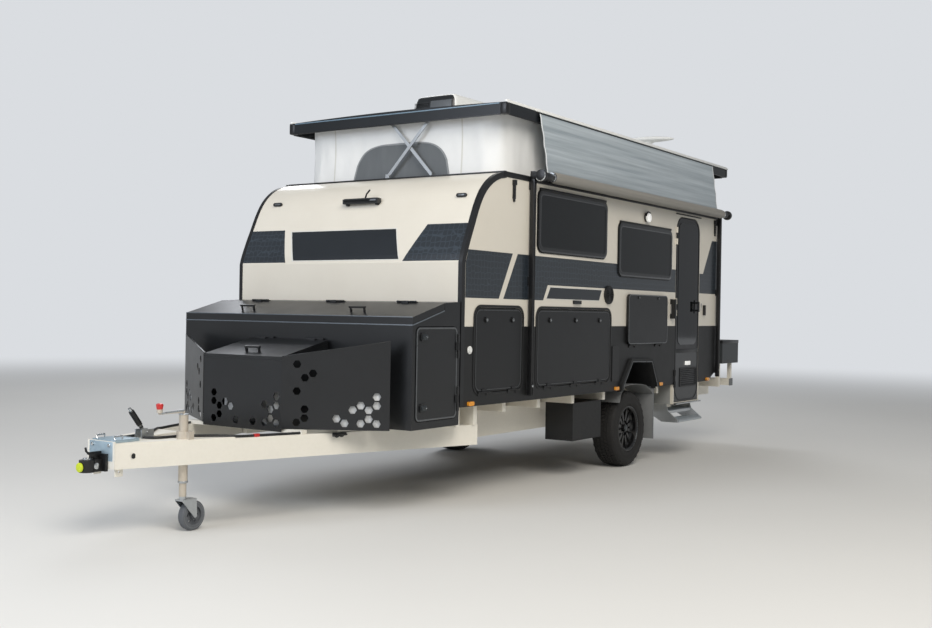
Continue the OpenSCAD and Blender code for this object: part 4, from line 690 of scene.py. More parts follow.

# %% [markdown]
# The table's leaf has a folded rim, drawn as a pale painted highlight, and two press
# latches that hold it against the wall.

# %% Table trim
TABLE_Y = -1181
side_frame("table_edge", (2790, 1192), (3682, 1670), 10, (45, 36), TABLE_Y, -2, lip_light, "table_leaf", 0.8)
for k, x in enumerate((3010, 3460)):
    box(f"table_latch_{k + 1}", (x - 20, TABLE_Y - 6, 1628), (x + 20, TABLE_Y, 1652), black_anodised,
        "table_leaf", 2)
    disc(f"table_latch_pin_{k + 1}", (x, TABLE_Y - 6, 1640), "y", 5, -2, polished, "table_leaf", 16, 0.5)

# %% [markdown]
# The door's trims sit inside its outline, and the sill and the rain strip on the wall
# stand just outside it. The louvre's slats slope down and outwards, so rain stays out.

# %% Door trim
DOOR = "door"
DX0, DX1, DZ0, DZ1 = 3950, 4567, 578, 2500
door_y = -HALF
side_frame("door_border", (DX0 + 6, DZ0 + 6), (DX1 - 6, DZ1 - 6), 16, (144, 128), door_y, -4,
           black_anodised, DOOR, 1, steps=8)
box("door_mid_rail", (DX0 + 22, door_y - 4, 1085), (DX1 - 22, door_y, 1125), black_anodised, DOOR, 1.5)
for k in range(9):
    z = 742 + 20 * k
    slat = [(4092, door_y + out, z + up) for out, up in ((0, 0), (-8, 3), (-8, 6), (0, 15))]
    prism(f"door_louvre_{k + 1}", slat, (410, 0, 0), fitting_abs, DOOR, 0.8)
side_frame("door_louvre_frame", (4078, 728), (4516, 928), 14, (14, 8), door_y, -9, fitting_abs, DOOR, 1.2)
lamp_glow = surface("opal_lamp_cover", "#F2F3EF", "#FBFBF8", 50, 0.3, 0.04, IOR=1.49)
skin = parts_of(lamp_glow)[1]
skin.inputs["Emission Color"].default_value = srgb("#FFFFFF")
skin.inputs["Emission Strength"].default_value = 0.25
box("door_courtesy_lamp", (4215, door_y - 12, 952), (4345, door_y, 994), lamp_glow, DOOR, 4)
box("door_sill_strip", (3934, -1186, 552), (4583, -1150, 566), polished, ROOT, 2)
box("door_rain_strip", (3930, -1160, 2522), (4587, -1150, 2534), black_anodised, ROOT, 1.5)
box("door_handle_insert", (4502, door_y - 56, 1532), (4514, door_y - 51, 1608), polished, DOOR, 1.5)

# %% [markdown]
# ## Small fittings on the walls
# A grab handle by the door with a bright end, strap latches that hold the roof down,
# dome lamps, oval markers and the light bar on the front wall, with its bracket.

# %% Fittings
for side, word in SIDES:
    for k, x in enumerate((720, 4985)):
        side_box(f"strap_end_{word}_{k + 1}", side, (x - 11, HALF, 2360), (x + 11, HALF + 14, 2386),
                 black_anodised, ROOT, 4)
        for j in range(3):
            z = 2400 + 26 * j
            side_box(f"strap_rib_{word}_{k + 1}_{j + 1}", side, (x - 14, HALF + 12, z),
                     (x + 14, HALF + 15, z + 12), seal_rubber, ROOT, 1)
MARKER = (-48, -15, 48, 15, 14.5)
for k, y in enumerate((934, -986)):
    xa = rake_out(2375, 0)[0]
    loop = [(xa - 6, y + a, 2376 + b) for a, b in rounded(*MARKER)]
    prism(f"front_marker_{k + 1}", loop, (-16, 0, 0), seal_rubber, ROOT, 3)
    loop = [(xa - 22, y + a, 2376 + b) for a, b in rounded(-30, -6, 30, 6, 5.5)]
    prism(f"front_marker_lens_{k + 1}", loop, (-2, 0, 0), lip_light, ROOT, 0.8)
BAR_X = 168
box("light_bar_glass", (BAR_X - 4, -190, 2351), (BAR_X + 1, 145, 2375), acrylic, ROOT, 1.5)
for k in range(6):
    box(f"light_bar_fin_{k + 1}", (BAR_X + 6 + 7 * k, -196, 2382), (BAR_X + 9 + 7 * k, 151, 2387),
        black_anodised, ROOT, 0.8)
tube("light_bar_lever", [(BAR_X + 20, -60, 2380), (BAR_X + 16, -80, 2420), (BAR_X + 20, -110, 2452)], 7,
     seal_rubber)
LAMP_X, LAMP_Z = 3200, 2430
disc("annex_lamp_rim", (LAMP_X, -HALF - 22, LAMP_Z), "y", 52, -6, white_abs, ROOT, 40, 2)
disc("annex_lamp_cover", (LAMP_X, -HALF - 28, LAMP_Z - 4), "y", 44, -16, lamp_glow, ROOT, 40, 7)
hood = []
for r, run in ((58, range(10, 171, 8)), (46, range(170, 9, -8))):
    for a in run:
        c, s = math.cos(math.radians(a)), math.sin(math.radians(a))
        hood.append((LAMP_X + r * c, -HALF - 22, LAMP_Z + r * s))
prism("annex_lamp_hood", hood, (0, -12, 0), black_anodised, ROOT, 2)
disc("water_inlet_rim", (115, -HALF - CLAD, 1188), "y", 30, -8, white_abs, ROOT, 32, 2)
disc("water_inlet_cap", (115, -HALF - CLAD - 8, 1188), "y", 20, -6, white_abs, ROOT, 28, 2)
SPEAKER_X, SPEAKER_Z = 2409, 1653
disc("speaker_rim", (SPEAKER_X, -HALF - 14, SPEAKER_Z), "y", 85, -5, seal_rubber, ROOT, 48, 2)
for k in range(5):
    r = 68 - 13 * k
    tube(f"speaker_ring_{k + 1}", circle((SPEAKER_X, -HALF - 20, SPEAKER_Z), "y", (r, r), 40), 2.2,
         black_anodised, sides=6, closed=True)

# %% [markdown]
# ## Fabric surfaces
# The canvas walls of a lifting roof are cotton-polyester duck, sewn in panels, keyed
# into rails at top and bottom and pulled straight when the roof is up. The slack shows
# as a shallow waist, upright creases at the corners and small gathers under the roof.
# A cloth simulation could find such folds, but they would change from run to run.
# A grid that is pushed in and out by a few plain functions stays the same each time.

# %% Cloth grid
CANVAS_Z0, CANVAS_Z1 = 2586.5, 3115.5
CANVAS = (690, -1050, 5060, 1050, 200)
CANVAS_HALF = ((CANVAS[2] - CANVAS[0]) / 2, CANVAS[3])


def grid(name, rows, material, closed=False, body=ROOT):
    """An open surface from rows of points that all have the same number of points."""
    n, m = len(rows[0]), len(rows)
    points = [p for row in rows for p in row]
    faces = []
    for r in range(m - 1):
        for k in range(n if closed else n - 1):
            j = (k + 1) % n
            faces.append((r * n + k, r * n + j, (r + 1) * n + j, (r + 1) * n + k))
    return piece(name, points, faces, material, body, smooth=True)


def fold_down(obj):
    """The piece gets a mesh of its own."""
    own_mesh(obj)
    return obj


def ring_points(count):
    """Points and outward directions evenly spaced round the canvas."""
    x0, y0, x1, y1, r = CANVAS
    arc = math.pi * r / 2
    runs = [(y1 - y0 - 2 * r), arc, (x1 - x0 - 2 * r), arc, (y1 - y0 - 2 * r), arc, (x1 - x0 - 2 * r), arc]
    starts = [(x0, y1 - r, 0, -1, -1, 0), (x0 + r, y0 + r, 180, 270), (x0 + r, y0, 1, 0, 0, -1),
              (x1 - r, y0 + r, 270, 360),
              (x1, y0 + r, 0, 1, 1, 0), (x1 - r, y1 - r, 0, 90), (x1 - r, y1, -1, 0, 0, 1),
              (x0 + r, y1 - r, 90, 180)]
    total, out = sum(runs), []
    for i in range(count):
        s = total * i / count
        at_s = s
        for run, start in zip(runs, starts):
            if s <= run:
                if len(start) == 6:
                    x, y, dx, dy, nx, ny = start
                    out.append((x + dx * s, y + dy * s, nx, ny, at_s))
                else:
                    cx, cy, a0, a1 = start
                    t = math.radians(a0 + (a1 - a0) * s / run)
                    out.append((cx + r * math.cos(t), cy + r * math.sin(t), math.cos(t), math.sin(t), at_s))
                break
            s -= run
    return out, total


def canvas_push(x, y, s, t):
    """How far the cloth stands outwards (mm) at s round the ring and t up it."""
    mid = math.sin(math.pi * t)
    push = -15 * mid ** 1.4
    px, py = abs(x - (CANVAS[0] + CANVAS[2]) / 2), abs(y)
    near = math.hypot(max(0, CANVAS_HALF[0] - px), max(0, CANVAS_HALF[1] - py))
    corner = max(0.0, 1 - near / 420)
    push += 6.5 * corner * mid * math.sin(s / 29)
    drift = noise.noise(Vector((s / 260, t * 1.3, 4)))
    push += 7 * mid * noise.noise(Vector((s / 95 + drift, t * 1.1, 9)))
    push += 5 * t ** 5 * (1 - t) * 6 * noise.noise(Vector((s / 42, t * 2, 15)))
    push += 1.1 * mid * noise.noise(Vector((s / 17, t * 5, 21)))
    return push


ring, RING_LEN = ring_points(640)
LEVELS = 30
print("the canvas goes", round(RING_LEN / 1000, 3), "m round")

# %% [markdown]
# ## Canvas finishes
# Duck has a plain weave at about 1.2 threads a millimetre, far below the picture's
# resolution, so the weave is only a faint bump, while slack shading and seams do the
# work. The insect mesh of the windows is dark grey polyester.

# %% Canvas materials
duck = surface("coated_canvas", "#D3D4D3", "#E1E2E1", 260, 0.78, 0.06, 0.6, IOR=1.46)
parts_of(duck)[1].inputs["Sheen Weight"].default_value = 0.15
mesh_cloth = surface("insect_mesh", "#54585B", "#666A6D", 90, 0.8, 0.06, 0.4, stretch=(1, 1, 0.25))
tape = surface("seam_tape", "#C3C2BC", "#CFCEC8", 60, 0.7, 0.06, 0.2)
grey_tape = surface("window_binding_tape", "#7E8183", "#8C8F91", 60, 0.7, 0.06, 0.2)
print(len(bpy.data.materials), "materials so far")

# %% [markdown]
# The cloth is built level by level from its foot to its head, each level a ring that
# stands in or out by the folds. Its foot stands in the gutter and its head under the roof.

# %% Canvas walls
rows = []
for k in range(LEVELS + 1):
    t = k / LEVELS
    rows.append([(x + nx * canvas_push(x, y, s, t), y + ny * canvas_push(x, y, s, t),
                  CANVAS_Z0 + t * (CANVAS_Z1 - CANVAS_Z0)) for x, y, nx, ny, s in ring])
canvas = grid("canvas_walls", rows, duck, closed=True)
fold_down(canvas)
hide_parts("canvas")
print("canvas walls,", len(canvas.data.polygons), "faces")


def on_front(y, z, out):
    """A point on the canvas's front face, a little proud of the cloth."""
    s = CANVAS[3] - CANVAS[4] - y
    t = (z - CANVAS_Z0) / (CANVAS_Z1 - CANVAS_Z0)
    return (CANVAS[0] - canvas_push(CANVAS[0], y, s, t) - out, y, z)


def on_rear(y, z, out):
    """The same on the canvas's rear face."""
    s = RING_LEN / 2 + (y - CANVAS[1] - CANVAS[4])
    t = (z - CANVAS_Z0) / (CANVAS_Z1 - CANVAS_Z0)
    return (CANVAS[2] + canvas_push(CANVAS[2], y, s, t) + out, y, z)


def on_far(x, z, out):
    """The same on the far side's face."""
    s = RING_LEN - math.pi * CANVAS[4] / 2 - (x - CANVAS[0] - CANVAS[4])
    t = (z - CANVAS_Z0) / (CANVAS_Z1 - CANVAS_Z0)
    return (x, CANVAS[3] + canvas_push(x, CANVAS[3], s, t) + out, z)


# %% [markdown]
# ## Canvas windows and seams
# The mesh window keeps its arched outline, wider at the foot than at the head, and a
# folded tape is sewn round it. Upright seams join the panels, each under a tape.

# %% Windows in the canvas
soft_trims = [canvas]


def canvas_window(name, place, a0, a1, z0=2604, z1=2905):
    """An arched pane of mesh from a0 to a1 along a face, with its tape."""
    rows, edge = [], []
    cols = 56
    for k in range(13):
        v, row = k / 12, []
        for i in range(cols + 1):
            u = -1 + 2 * i / cols
            u = math.copysign(abs(u) ** 0.8, u)
            height = (1 - abs(u) ** 4.2) ** (1 / 2.6)
            lean = 0.93 + 0.07 * (1 - v * height)
            a = (a0 + a1) / 2 + u * (a1 - a0) / 2 * lean
            row.append(place(a, z0 + (z1 - z0) * v * height, 2.0))
        rows.append(row)
    pane = fold_down(grid(name, rows, mesh_cloth))
    rim = [Vector(p) for p in rows[-1]]
    inner, outer = [], []
    centre = Vector(rows[3][cols // 2])
    for p in rim:
        d = (centre - p)
        d.z = min(d.z, 0)
        d = d.normalized() * 16
        outer.append(tuple(p))
        inner.append(tuple(p + d))
    lift = Vector(place((a0 + a1) / 2, z0 + 50, 4.5)) - Vector(place((a0 + a1) / 2, z0 + 50, 2.0))
    band = grid(name + "_binding", [[tuple(Vector(p) + lift) for p in loop] for loop in (outer, inner)],
                grey_tape)
    fold_down(band)
    return [pane, band]


soft_trims += canvas_window("canvas_window_front", on_front, 480, -545)
soft_trims += canvas_window("canvas_window_rear", on_rear, -520, 520)
soft_trims += canvas_window("canvas_window_far_1", on_far, 1300, 2500)
soft_trims += canvas_window("canvas_window_far_2", on_far, 3250, 4450)


def seam(name, place, a):
    """A taped upright seam at a along a face."""
    rows = []
    for off in (-7, 7):
        rows.append([place(a + off, CANVAS_Z0 + 2 + (CANVAS_Z1 - CANVAS_Z0 - 4) * k / 24, 1.2)
                     for k in range(25)])
    return fold_down(grid(name, rows, tape))


soft_trims += [seam("canvas_seam_front", on_front, -659), seam("canvas_seam_front_far", on_front, 700),
               seam("canvas_seam_rear", on_rear, 700), seam("canvas_seam_rear_near", on_rear, -700)]
soft_trims += [seam(f"canvas_seam_far_{k + 1}", on_far, x) for k, x in enumerate((1050, 2875, 4700))]
print("canvas", round(RING_LEN / 1000, 2), "m round,", len(canvas.data.polygons), "faces")

# %% [markdown]
# ## Awning sheet
# The awning is coated vinyl, bolt-roped into a track on the roof. Parked, only its
# first half metre shows, running down to the roller, and it is never quite flat: long
# shallow waves run along it and catch the sky. The same waves are in the mesh, and the
# light and shade they catch are painted into the colour as faint streaks of highlight
# and shadow, stretched forty times along the sheet.

# %% Awning finishes
# The vinyl's own grey, with the waves' light and shade painted in as streaks across the wide span between the
# two colours
vinyl = surface("awning_vinyl", "#5F6D77", "#CBD4D9", 34, 0.42, 0.08, 0.5, stretch=(0.02, 1, 1), detail=6.0,
                IOR=1.5, Coat_Weight=0.15)
taupe = surface("rolled_awning_vinyl", "#77746D", "#94918A", 30, 0.5, 0.08, 0.4, stretch=(0.03, 1, 1),
                IOR=1.5)
piping = surface("white_bolt_rope", "#DCE0E2", "#EEF1F2", 40, 0.5, 0.05)

print("vinyl colours ready")

# %% [markdown]
# The sheet hangs from the track, which rides on the roof, down to the roller on the
# wall. Its front and rear edges carry a sewn-in white rope.

# %% Sheet between track and roller
SHEET_TOP, SHEET_LOW = 3118.0, 2592.0


def sheet_point(u, v, out=0.0):
    """u from 0 at the front end to 1 at the rear, v from 0 at the roller to 1 at the track."""
    x0, x1 = 1140 - 55 * v, 4895 - 35 * v
    x = x0 + (x1 - x0) * u
    y = -1217 + (1217 - 1164.5) * v
    hang = math.sin(math.pi * v)
    wave = math.sin(v * 21 + 1.4 * math.sin(u * 5.3) + 0.8 * noise.noise(Vector((u * 9, v * 2, 3))))
    push = hang * (5 + 3.2 * wave + 4 * noise.noise(Vector((u * 4, v * 5, 8))))
    push += hang * 2.2 * noise.noise(Vector((u * 14, v * 19, 12)))
    return (x, y - push - out, SHEET_LOW + (SHEET_TOP - SHEET_LOW) * v)


rows = [[sheet_point(i / 220, k / 44) for i in range(221)] for k in range(45)]
awning = fold_down(grid("awning_cloth", rows, vinyl))
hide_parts("awning_sheet")
for name, u0, u1 in (("front", 0.0, 0.0045), ("rear", 0.9955, 1.0)):
    rows = [[sheet_point(u, k / 44, 2.0) for u in (u0, u1)] for k in range(45)]
    fold_down(grid(f"awning_hem_{name}", rows, piping))

# %% [markdown]
# ## Rolled awning
# The rest of the vinyl is wound on the roller, face inwards, so the roll is taupe. Its
# windings step in at the ends, where a black cap with a bright crescent holds the tube.

# %% Roll and end caps
ROLL_Y, ROLL_Z = -1268, 2592
ROLL_X0, ROLL_X1, ROLL_R, LAP = 1133, 4897, 46.5, 0.96
rows = []
for k in range(49):
    a = 2 * math.pi * k / 48
    row = []
    for i in range(95):
        u = i / 94
        step_in = 4.5 if u < 0.006 or u > 0.994 else 0.0
        r = ROLL_R - step_in + 0.9 * noise.noise(Vector((u * 16, math.cos(a), math.sin(a))))
        r += LAP if 0.1 < a / (2 * math.pi) < 0.5 else 0
        row.append((ROLL_X0 + (ROLL_X1 - ROLL_X0) * u, ROLL_Y + r * math.cos(a), ROLL_Z + r * math.sin(a)))
    rows.append(row)
roll = grid("awning_roll", rows, taupe)
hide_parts("awning_roller")
for word, x, way in (("front", ROLL_X0 - 20, 1), ("rear", ROLL_X1 + 20, -1)):
    tube(f"roller_tube_{word}", [(x, ROLL_Y, ROLL_Z), (x + way * 24, ROLL_Y, ROLL_Z)], 40, polished, sides=36)
    disc(f"roller_cap_{word}", (x - way * 164, ROLL_Y + 4, ROLL_Z), "x", 50, way * 30, black_anodised,
         steps=44, bevel=3)
    loop = [(x - way * 168, ROLL_Y + 4 + 44 * math.cos(math.radians(a)),
             ROLL_Z + 44 * math.sin(math.radians(a)))
            for a in range(150, 336, 6)]
    tube(f"roller_crescent_{word}", loop, 5, polished, sides=8)
box("awning_track_line", (1040, -1164, 3134), (5330, -1150.5, 3150), white_abs, "raised_roof", 2)
print("sheet", len(awning.data.polygons), "faces; roll", len(roll.data.polygons))

# %% [markdown]
# ## Tyres
# An all-terrain tyre has five rows of blocks on a shallow crown, staggered from row to
# row, with grooves about 9 mm deep and lugs that run over the shoulder. Copying one
# block round the tyre is how a mould maker draws it too. The wall carries two fine rings.

# %% One tyre
TYRE_R, TYRE_W, RIM_R = 368, 245, 203
GROOVE = 9
PITCHES = 60


def tyre(name, node, centre, axis, body):
    """axis is the letter of the axle's axis. The tread is cut from blocks."""
    w, side = TYRE_W / 2, TYRE_R - RIM_R
    base = TYRE_R - GROOVE
    half = [(RIM_R + 3, w - 29), (RIM_R + 17, w - 28), (RIM_R + 22, w - 10), (RIM_R + 38, w - 3.5),
            (RIM_R + 41, w - 1.5),
            (RIM_R + 0.36 * side, w - 0.5), (RIM_R + 0.45 * side, w - 0.5), (RIM_R + 0.47 * side, w - 2),
            (TYRE_R - 0.42 * side, w - 2), (TYRE_R - 0.3 * side, w - 5), (TYRE_R - 0.2 * side, w - 10),
            (base - 14, w - 17), (base - 5, w - 29), (base - 1, w - 42), (base, w - 70)]
    profile = half + [(r, -a) for r, a in reversed(half)]
    points, faces = [], []
    steps, m = 120, len(profile)

    def put(r, a, t):
        """One point at radius r, a along the axle and angle t."""
        c, s = r * math.cos(t), r * math.sin(t)
        p = {"y": (c, a, s), "x": (a, c, s)}[axis]
        points.append(tuple(q + d for q, d in zip(centre, p)))

    for k in range(steps):
        for r, a in profile:
            put(r, a, 2 * math.pi * k / steps)
    for k in range(steps):
        j = (k + 1) % steps
        for i in range(m):
            i2 = (i + 1) % m
            faces.append((k * m + i, k * m + i2, j * m + i2, j * m + i))

    def block(t0, t1, a0, a1, r0, r1, drop0=0.0, drop1=0.0, skew=0.0):
        """A tread block between two angles, two places along the axle and two radii."""
        b = len(points)
        for a, drop in ((a0, drop0), (a1, drop1)):
            shift = skew * (a - (a0 + a1) / 2) / (a1 - a0)
            for t in (t0, t1):
                put(r0 - drop * 1.2, a, t + shift)
                put(r1 - drop, a, t + shift)
        faces.extend([(b, b + 1, b + 3, b + 2), (b + 4, b + 6, b + 7, b + 5), (b, b + 4, b + 5, b + 1),
                      (b + 2, b + 3, b + 7, b + 6), (b + 1, b + 5, b + 7, b + 3), (b, b + 2, b + 6, b + 4)])

    pitch = 2 * math.pi / PITCHES
    for k in range(PITCHES):
        t = k * pitch
        block(t, t + 0.78 * pitch, -17, 17, base - 4, TYRE_R, skew=0.35 * pitch)
        for s in (-1, 1):
            block(t + 0.3 * pitch, t + 1.1 * pitch, *sorted((s * 24, s * 52)), base - 4, TYRE_R - 0.6,
                  skew=s * 0.3 * pitch)
            lo, hi = sorted((s * 60, s * 96))
            block(t, t + 0.72 * pitch, lo, hi, base - 8, TYRE_R - 3, *((0, 6) if s > 0 else (6, 0)))
            lo, hi = sorted((s * 92, s * 112))
            drop = 26 if k % 2 else 16
            drops = (0, drop) if s > 0 else (drop, 0)
            block(t, t + 0.72 * pitch, lo, hi, base - 30, TYRE_R - 9, *drops)
    obj = piece(name, points, faces, tyre_rubber, body)
    obj.data.polygons.foreach_set("use_smooth", [True] * len(obj.data.polygons))
    obj.data.set_sharp_from_angle(angle=math.radians(32))
    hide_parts(node)
    return obj


AXLE_X, WHEEL_Y, SPARE = 3045, 967, (5600, 0, 1120)
left = tyre("tread_left", "tyre_left", (AXLE_X, -WHEEL_Y, TYRE_R), "y", "wheel_left")
tyre("tread_right", "tyre_right", (AXLE_X, WHEEL_Y, TYRE_R), "y", "wheel_right")
tyre("tread_spare", "spare_tyre", SPARE, "x", ROOT)
print("a tyre has", sum(len(p.vertices) - 2 for p in left.data.polygons), "triangles")

# %% [markdown]
# ## Wheel details
# The cast face is satin black with a machined lip. A small cap covers the hub, and the
# jockey wheel has a solid rubber tyre with a moulded rib each side.

# %% Wheel trims
lip_metal = surface("machined_rim_lip", "#4D5154", "#63676A", 30, 0.28, 0.08, Metallic=0.8)


def hoop(name, centre, axis, radius, thick, material, body, steps=72):
    """A thin closed ring round an axis."""
    return tube(name, circle(centre, axis, (radius, radius), steps), thick, material, body, sides=8,
                closed=True)


LIP_R, LIP_OUT, JY = RIM_R + 4, 104, 215.98
for side, word in SIDES:
    body = f"wheel_{word}"
    hoop(f"rim_lip_{word}", (AXLE_X, side * (WHEEL_Y + LIP_OUT), TYRE_R), "y", LIP_R, 3.2, lip_metal, body)
    disc(f"hub_cap_{word}", (AXLE_X, side * (WHEEL_Y + 72), TYRE_R), "y", 31, side * 12, grey_moulded, body,
         40, 4)
    disc(f"hub_cap_face_{word}", (AXLE_X, side * (WHEEL_Y + 84), TYRE_R), "y", 21, side * 2, lip_metal,
         body, 32, 1)
hoop("spare_lip", (SPARE[0] + LIP_OUT, SPARE[1], SPARE[2]), "x", LIP_R, 3.2, lip_metal, ROOT)
for s, word in ((-1, "out"), (1, "in")):
    hoop(f"jockey_rib_{word}", (-1768, -JY + s * 25, 100), "y", 84, 2.5, flap_rubber, "jockey_roller", 48)

# %% [markdown]
# ## On the roof
# The air conditioner's front is a dark grille under a white moulded shroud with soft
# edges and a rear vent. The solid gives its size, and a rounded, tapered shell of
# stacked outlines gives the moulding. The television antenna is a flattened swept wing
# on a short neck, thick in the middle and thin at the tips.

# %% Cooler shell
def loft(name, loops, material, body=ROOT, smooth=True):
    """A closed shell through outlines that all have the same number of points."""
    n, points, faces = len(loops[0]), [p for loop in loops for p in loop], []
    for k in range(len(loops) - 1):
        for i in range(n):
            j = (i + 1) % n
            faces.append((k * n + i, k * n + j, (k + 1) * n + j, (k + 1) * n + i))
    faces += [tuple(range(n - 1, -1, -1)), tuple(range((len(loops) - 1) * n, len(loops) * n))]
    return piece(name, points, faces, material, body, smooth=smooth)


ROOF = "raised_roof"
ROOF_Z = 3160
COOLER = (1090, -305, 1990, 155)
levels = [(0, 0, 0, 0), (6, 0, 0, 0), (60, 4, 10, 2), (120, 12, 40, 6), (165, 20, 80, 12), (200, 32, 130, 24),
          (220, 54, 190, 44), (230, 96, 260, 76), (233, 150, 330, 120)]
loops = []
for z, front, rear, side in levels:
    outline = rounded(COOLER[0] + front, COOLER[1] + side, COOLER[2] - rear, COOLER[3] - side,
                      60 - min(side, 30) * 0.8, 8)
    loops.append([(x, y, ROOF_Z + z) for x, y in outline])
cooler_skin = surface("white_cooler_plastic", "#D9DAD8", "#E6E7E5", 60, 0.38, 0.05, 0.08, IOR=1.53)
# Faces that look forwards are the dark grille
recolour(cooler_skin, "#15181B", "X", -0.62, normal="Normal")
shell = loft("cooler_shell", loops, cooler_skin, ROOF)
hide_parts("roof_cooler")
panel_grey = surface("grey_cooler_panel", "#4A4E52", "#565A5E", 60, 0.4, 0.05, 0.1, IOR=1.53)
x0 = COOLER[0]
PANEL = ((-4, -270, 24), (-4, -40, 24), (14, -40, 168), (14, -262, 168))
prism("cooler_front_panel", [(x0 + dx, y, ROOF_Z + up) for dx, y, up in PANEL], (10, 0, 0), panel_grey, ROOF, 3)
for k in range(10):
    z = ROOF_Z + 34 + 13 * k
    box(f"cooler_grille_{k + 1}", (x0 - 5 + 1.4 * k, -15, z), (x0 + 4 + 1.6 * k, 130, z + 5), fitting_abs,
        ROOF, 1)
for side, word in NEAR_FAR:
    y = (COOLER[1] + COOLER[3]) / 2 + side * 224
    for k in range(6):
        x = 1560 + 46 * k
        slot = [(x + dx, y, ROOF_Z + up) for dx, up in ((0, 45), (26, 45), (40, 105), (14, 105))]
        prism(f"cooler_vent_{word}_{k + 1}", slot, (0, side * 7, 0), fitting_abs, ROOF, 1)

# %% [markdown]
# The antenna's wing is lofted through flat ellipses from tip to tip, which sweep back
# and thin out towards the ends. Its neck flares where it meets the wing.

# %% Antenna
ANT_X, ANT_Y, ANT_Z = 4250, -650, 3368
WING_HALF = 306
loops = []
for k in range(41):
    v = -1 + k / 20
    reach = WING_HALF * v
    chord = 78 * (1 - abs(v) ** 2.6) ** 0.6 + 8
    thick = 27 * (1 - abs(v) ** 2.2) ** 0.7 + 4
    mid = 26 * abs(v) ** 1.6
    loops.append(circle((ANT_X + mid, ANT_Y + reach, ANT_Z - 6 * v * v), "y", (chord, thick), 24))
wing = loft("antenna_wing", loops, white_abs, ROOF)
neck = []
for z, rx, ry in ((3158, 64, 64), (3174, 62, 62), (3190, 48, 50), (3285, 40, 44), (3318, 42, 58),
                  (3342, 50, 100), (3356, 56, 150), (3362, 50, 160)):
    neck.append(circle((ANT_X + 4, ANT_Y, z), "z", (rx, ry), 32))
mast = loft("antenna_neck", neck, white_abs, ROOF)
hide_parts("antenna")

# %% [markdown]
# ## Roof skirt
# The roof's skirt is black outside with a pale line where the white top folds over it.
# Along the front a thin pale blue strip on top of the skirt is a painted reflection of the sky.
# Its front corners are capped by soft black mouldings. A bead hides the lower edge.

# %% Roof trims
ROOF_X0, ROOF_X1 = 590, 5335
for side, word in NEAR_FAR:
    for x, end, way in ((ROOF_X0, "front", -1), (ROOF_X1, "rear", 1)):
        xa, xb = sorted((x + way * 5, x - way * 60))
        side_box(f"roof_corner_{word}_{end}", side, (xa, 1090, 3046), (xb, 1155, 3144), black_anodised,
                 ROOF, 14)
    side_box(f"roof_bead_{word}", side, (640, 1143, 3043), (5285, 1151, 3051), black_anodised, ROOF, 2)
for end, x in (("front", ROOF_X0), ("rear", ROOF_X1)):
    box(f"roof_bead_{end}", (x - 4, -1095, 3043), (x + 4, 1095, 3052), black_anodised, ROOF, 2)
for side, word in NEAR_FAR:
    side_box(f"roof_rail_{word}", side, (ROOF_X0 + 10, 1126, 3139), (ROOF_X1 - 10, 1152, 3163), white_abs,
             ROOF, 4)
# Painted reflection: a pale blue line of sky along the front skirt's top edge
sky_reflection_strip = surface("painted_sky_reflection", "#5F7484", "#748998", 80, 0.3, 0.05, 0.05, IOR=1.5)
box("roof_front_sky_reflection", (585.5, -1085, 3131), (591, 1085, 3141), sky_reflection_strip, ROOF, 1.5)

# %% [markdown]
# ## Front boxes
# The toolbox and the gas box are folded and welded sheet with a fine-textured powder
# coat. Whale-tail latches are zinc castings in a dished plate. Round the lid runs a
# turned-down edge, and a pinch seal shows as a fine dark line under it. Through the
# perforations the two gas bottles and a pale sheet behind the wings can be seen.

# %% Latches
latch_metal = surface("cast_zinc_latch", "#3E4245", "#55595C", 18, 0.38, 0.1, 0.3, Metallic=0.8)
LATCH_X = -470
for side, word in SIDES:
    body = f"tool_door_{word}"
    for k, z in enumerate((785, 1292)):
        y = side * (HALF + 14)
        loop = on_side(rounded(LATCH_X - 34, z - 20, LATCH_X + 34, z + 20, 14), y)
        prism(f"latch_plate_{word}_{k + 1}", loop, (0, side * 2.5, 0), latch_metal, body, 0.8)
        tail = [(LATCH_X + dx, z + up) for dx, up in ((-28, -15), (20, -11), (32, 0), (20, 11), (-28, 15))]
        prism(f"latch_tail_{word}_{k + 1}", on_side(tail, y + side * 2.5), (0, side * 6, 0), latch_metal,
              body, 2)
        disc(f"latch_key_{word}_{k + 1}", (LATCH_X + 18, y + side * 8.5, z), "y", 5, side * 1.5, polished,
             body, 18, 0.5)
    # The pale fold line round each toolbox door is a painted highlight
    side_frame(f"tool_door_fold_{word}", (-558, 692), (-52, 1360), 12, (39, 29), side * (HALF + 4),
               side * 2, lip_light, body, 0.8)

# %% [markdown]
# The folded edges carry a painted highlight, a paler blue-grey line where they catch the
# light: the lid's hem and the fold along its front. The two slanted tops of the stone
# guard are folds in the box's own coat.

# %% Edges of the boxes
# Painted highlight: the paler blue-grey of the lid's lit folded edges
lid_edge_highlight = surface("painted_highlight_on_coat_edge", "#4B5259", "#666E76", 40, 0.35, 0.08, 0.1)
LID_FRONT, LID_RUN, LID_LOW, LID_HIGH, HEM_Z = -600, 389, 1433, 1538, 1372
slope = (LID_HIGH - LID_LOW) / LID_RUN
for side, word in SIDES:
    y0, y1 = sorted((side * HALF, side * (HALF + 2.5)))
    rise = (LID_RUN - 1) * slope
    rim = [(-602, HEM_Z), (-602, HEM_Z + 8), (-214, HEM_Z + 8 + rise), (-214, HEM_Z + rise)]
    prism(f"lid_hem_{word}", on_side(rim, y0), (0, y1 - y0, 0), lid_edge_highlight, "tool_lid", 0.5)
hem = [(LID_FRONT, HEM_Z), (LID_FRONT - 2.5, HEM_Z), (LID_FRONT - 2.5, HEM_Z + 8), (LID_FRONT, HEM_Z + 8)]
prism("lid_hem_front", on_side(hem, -HALF), (0, 2 * HALF, 0), lid_edge_highlight, "tool_lid", 0.5)
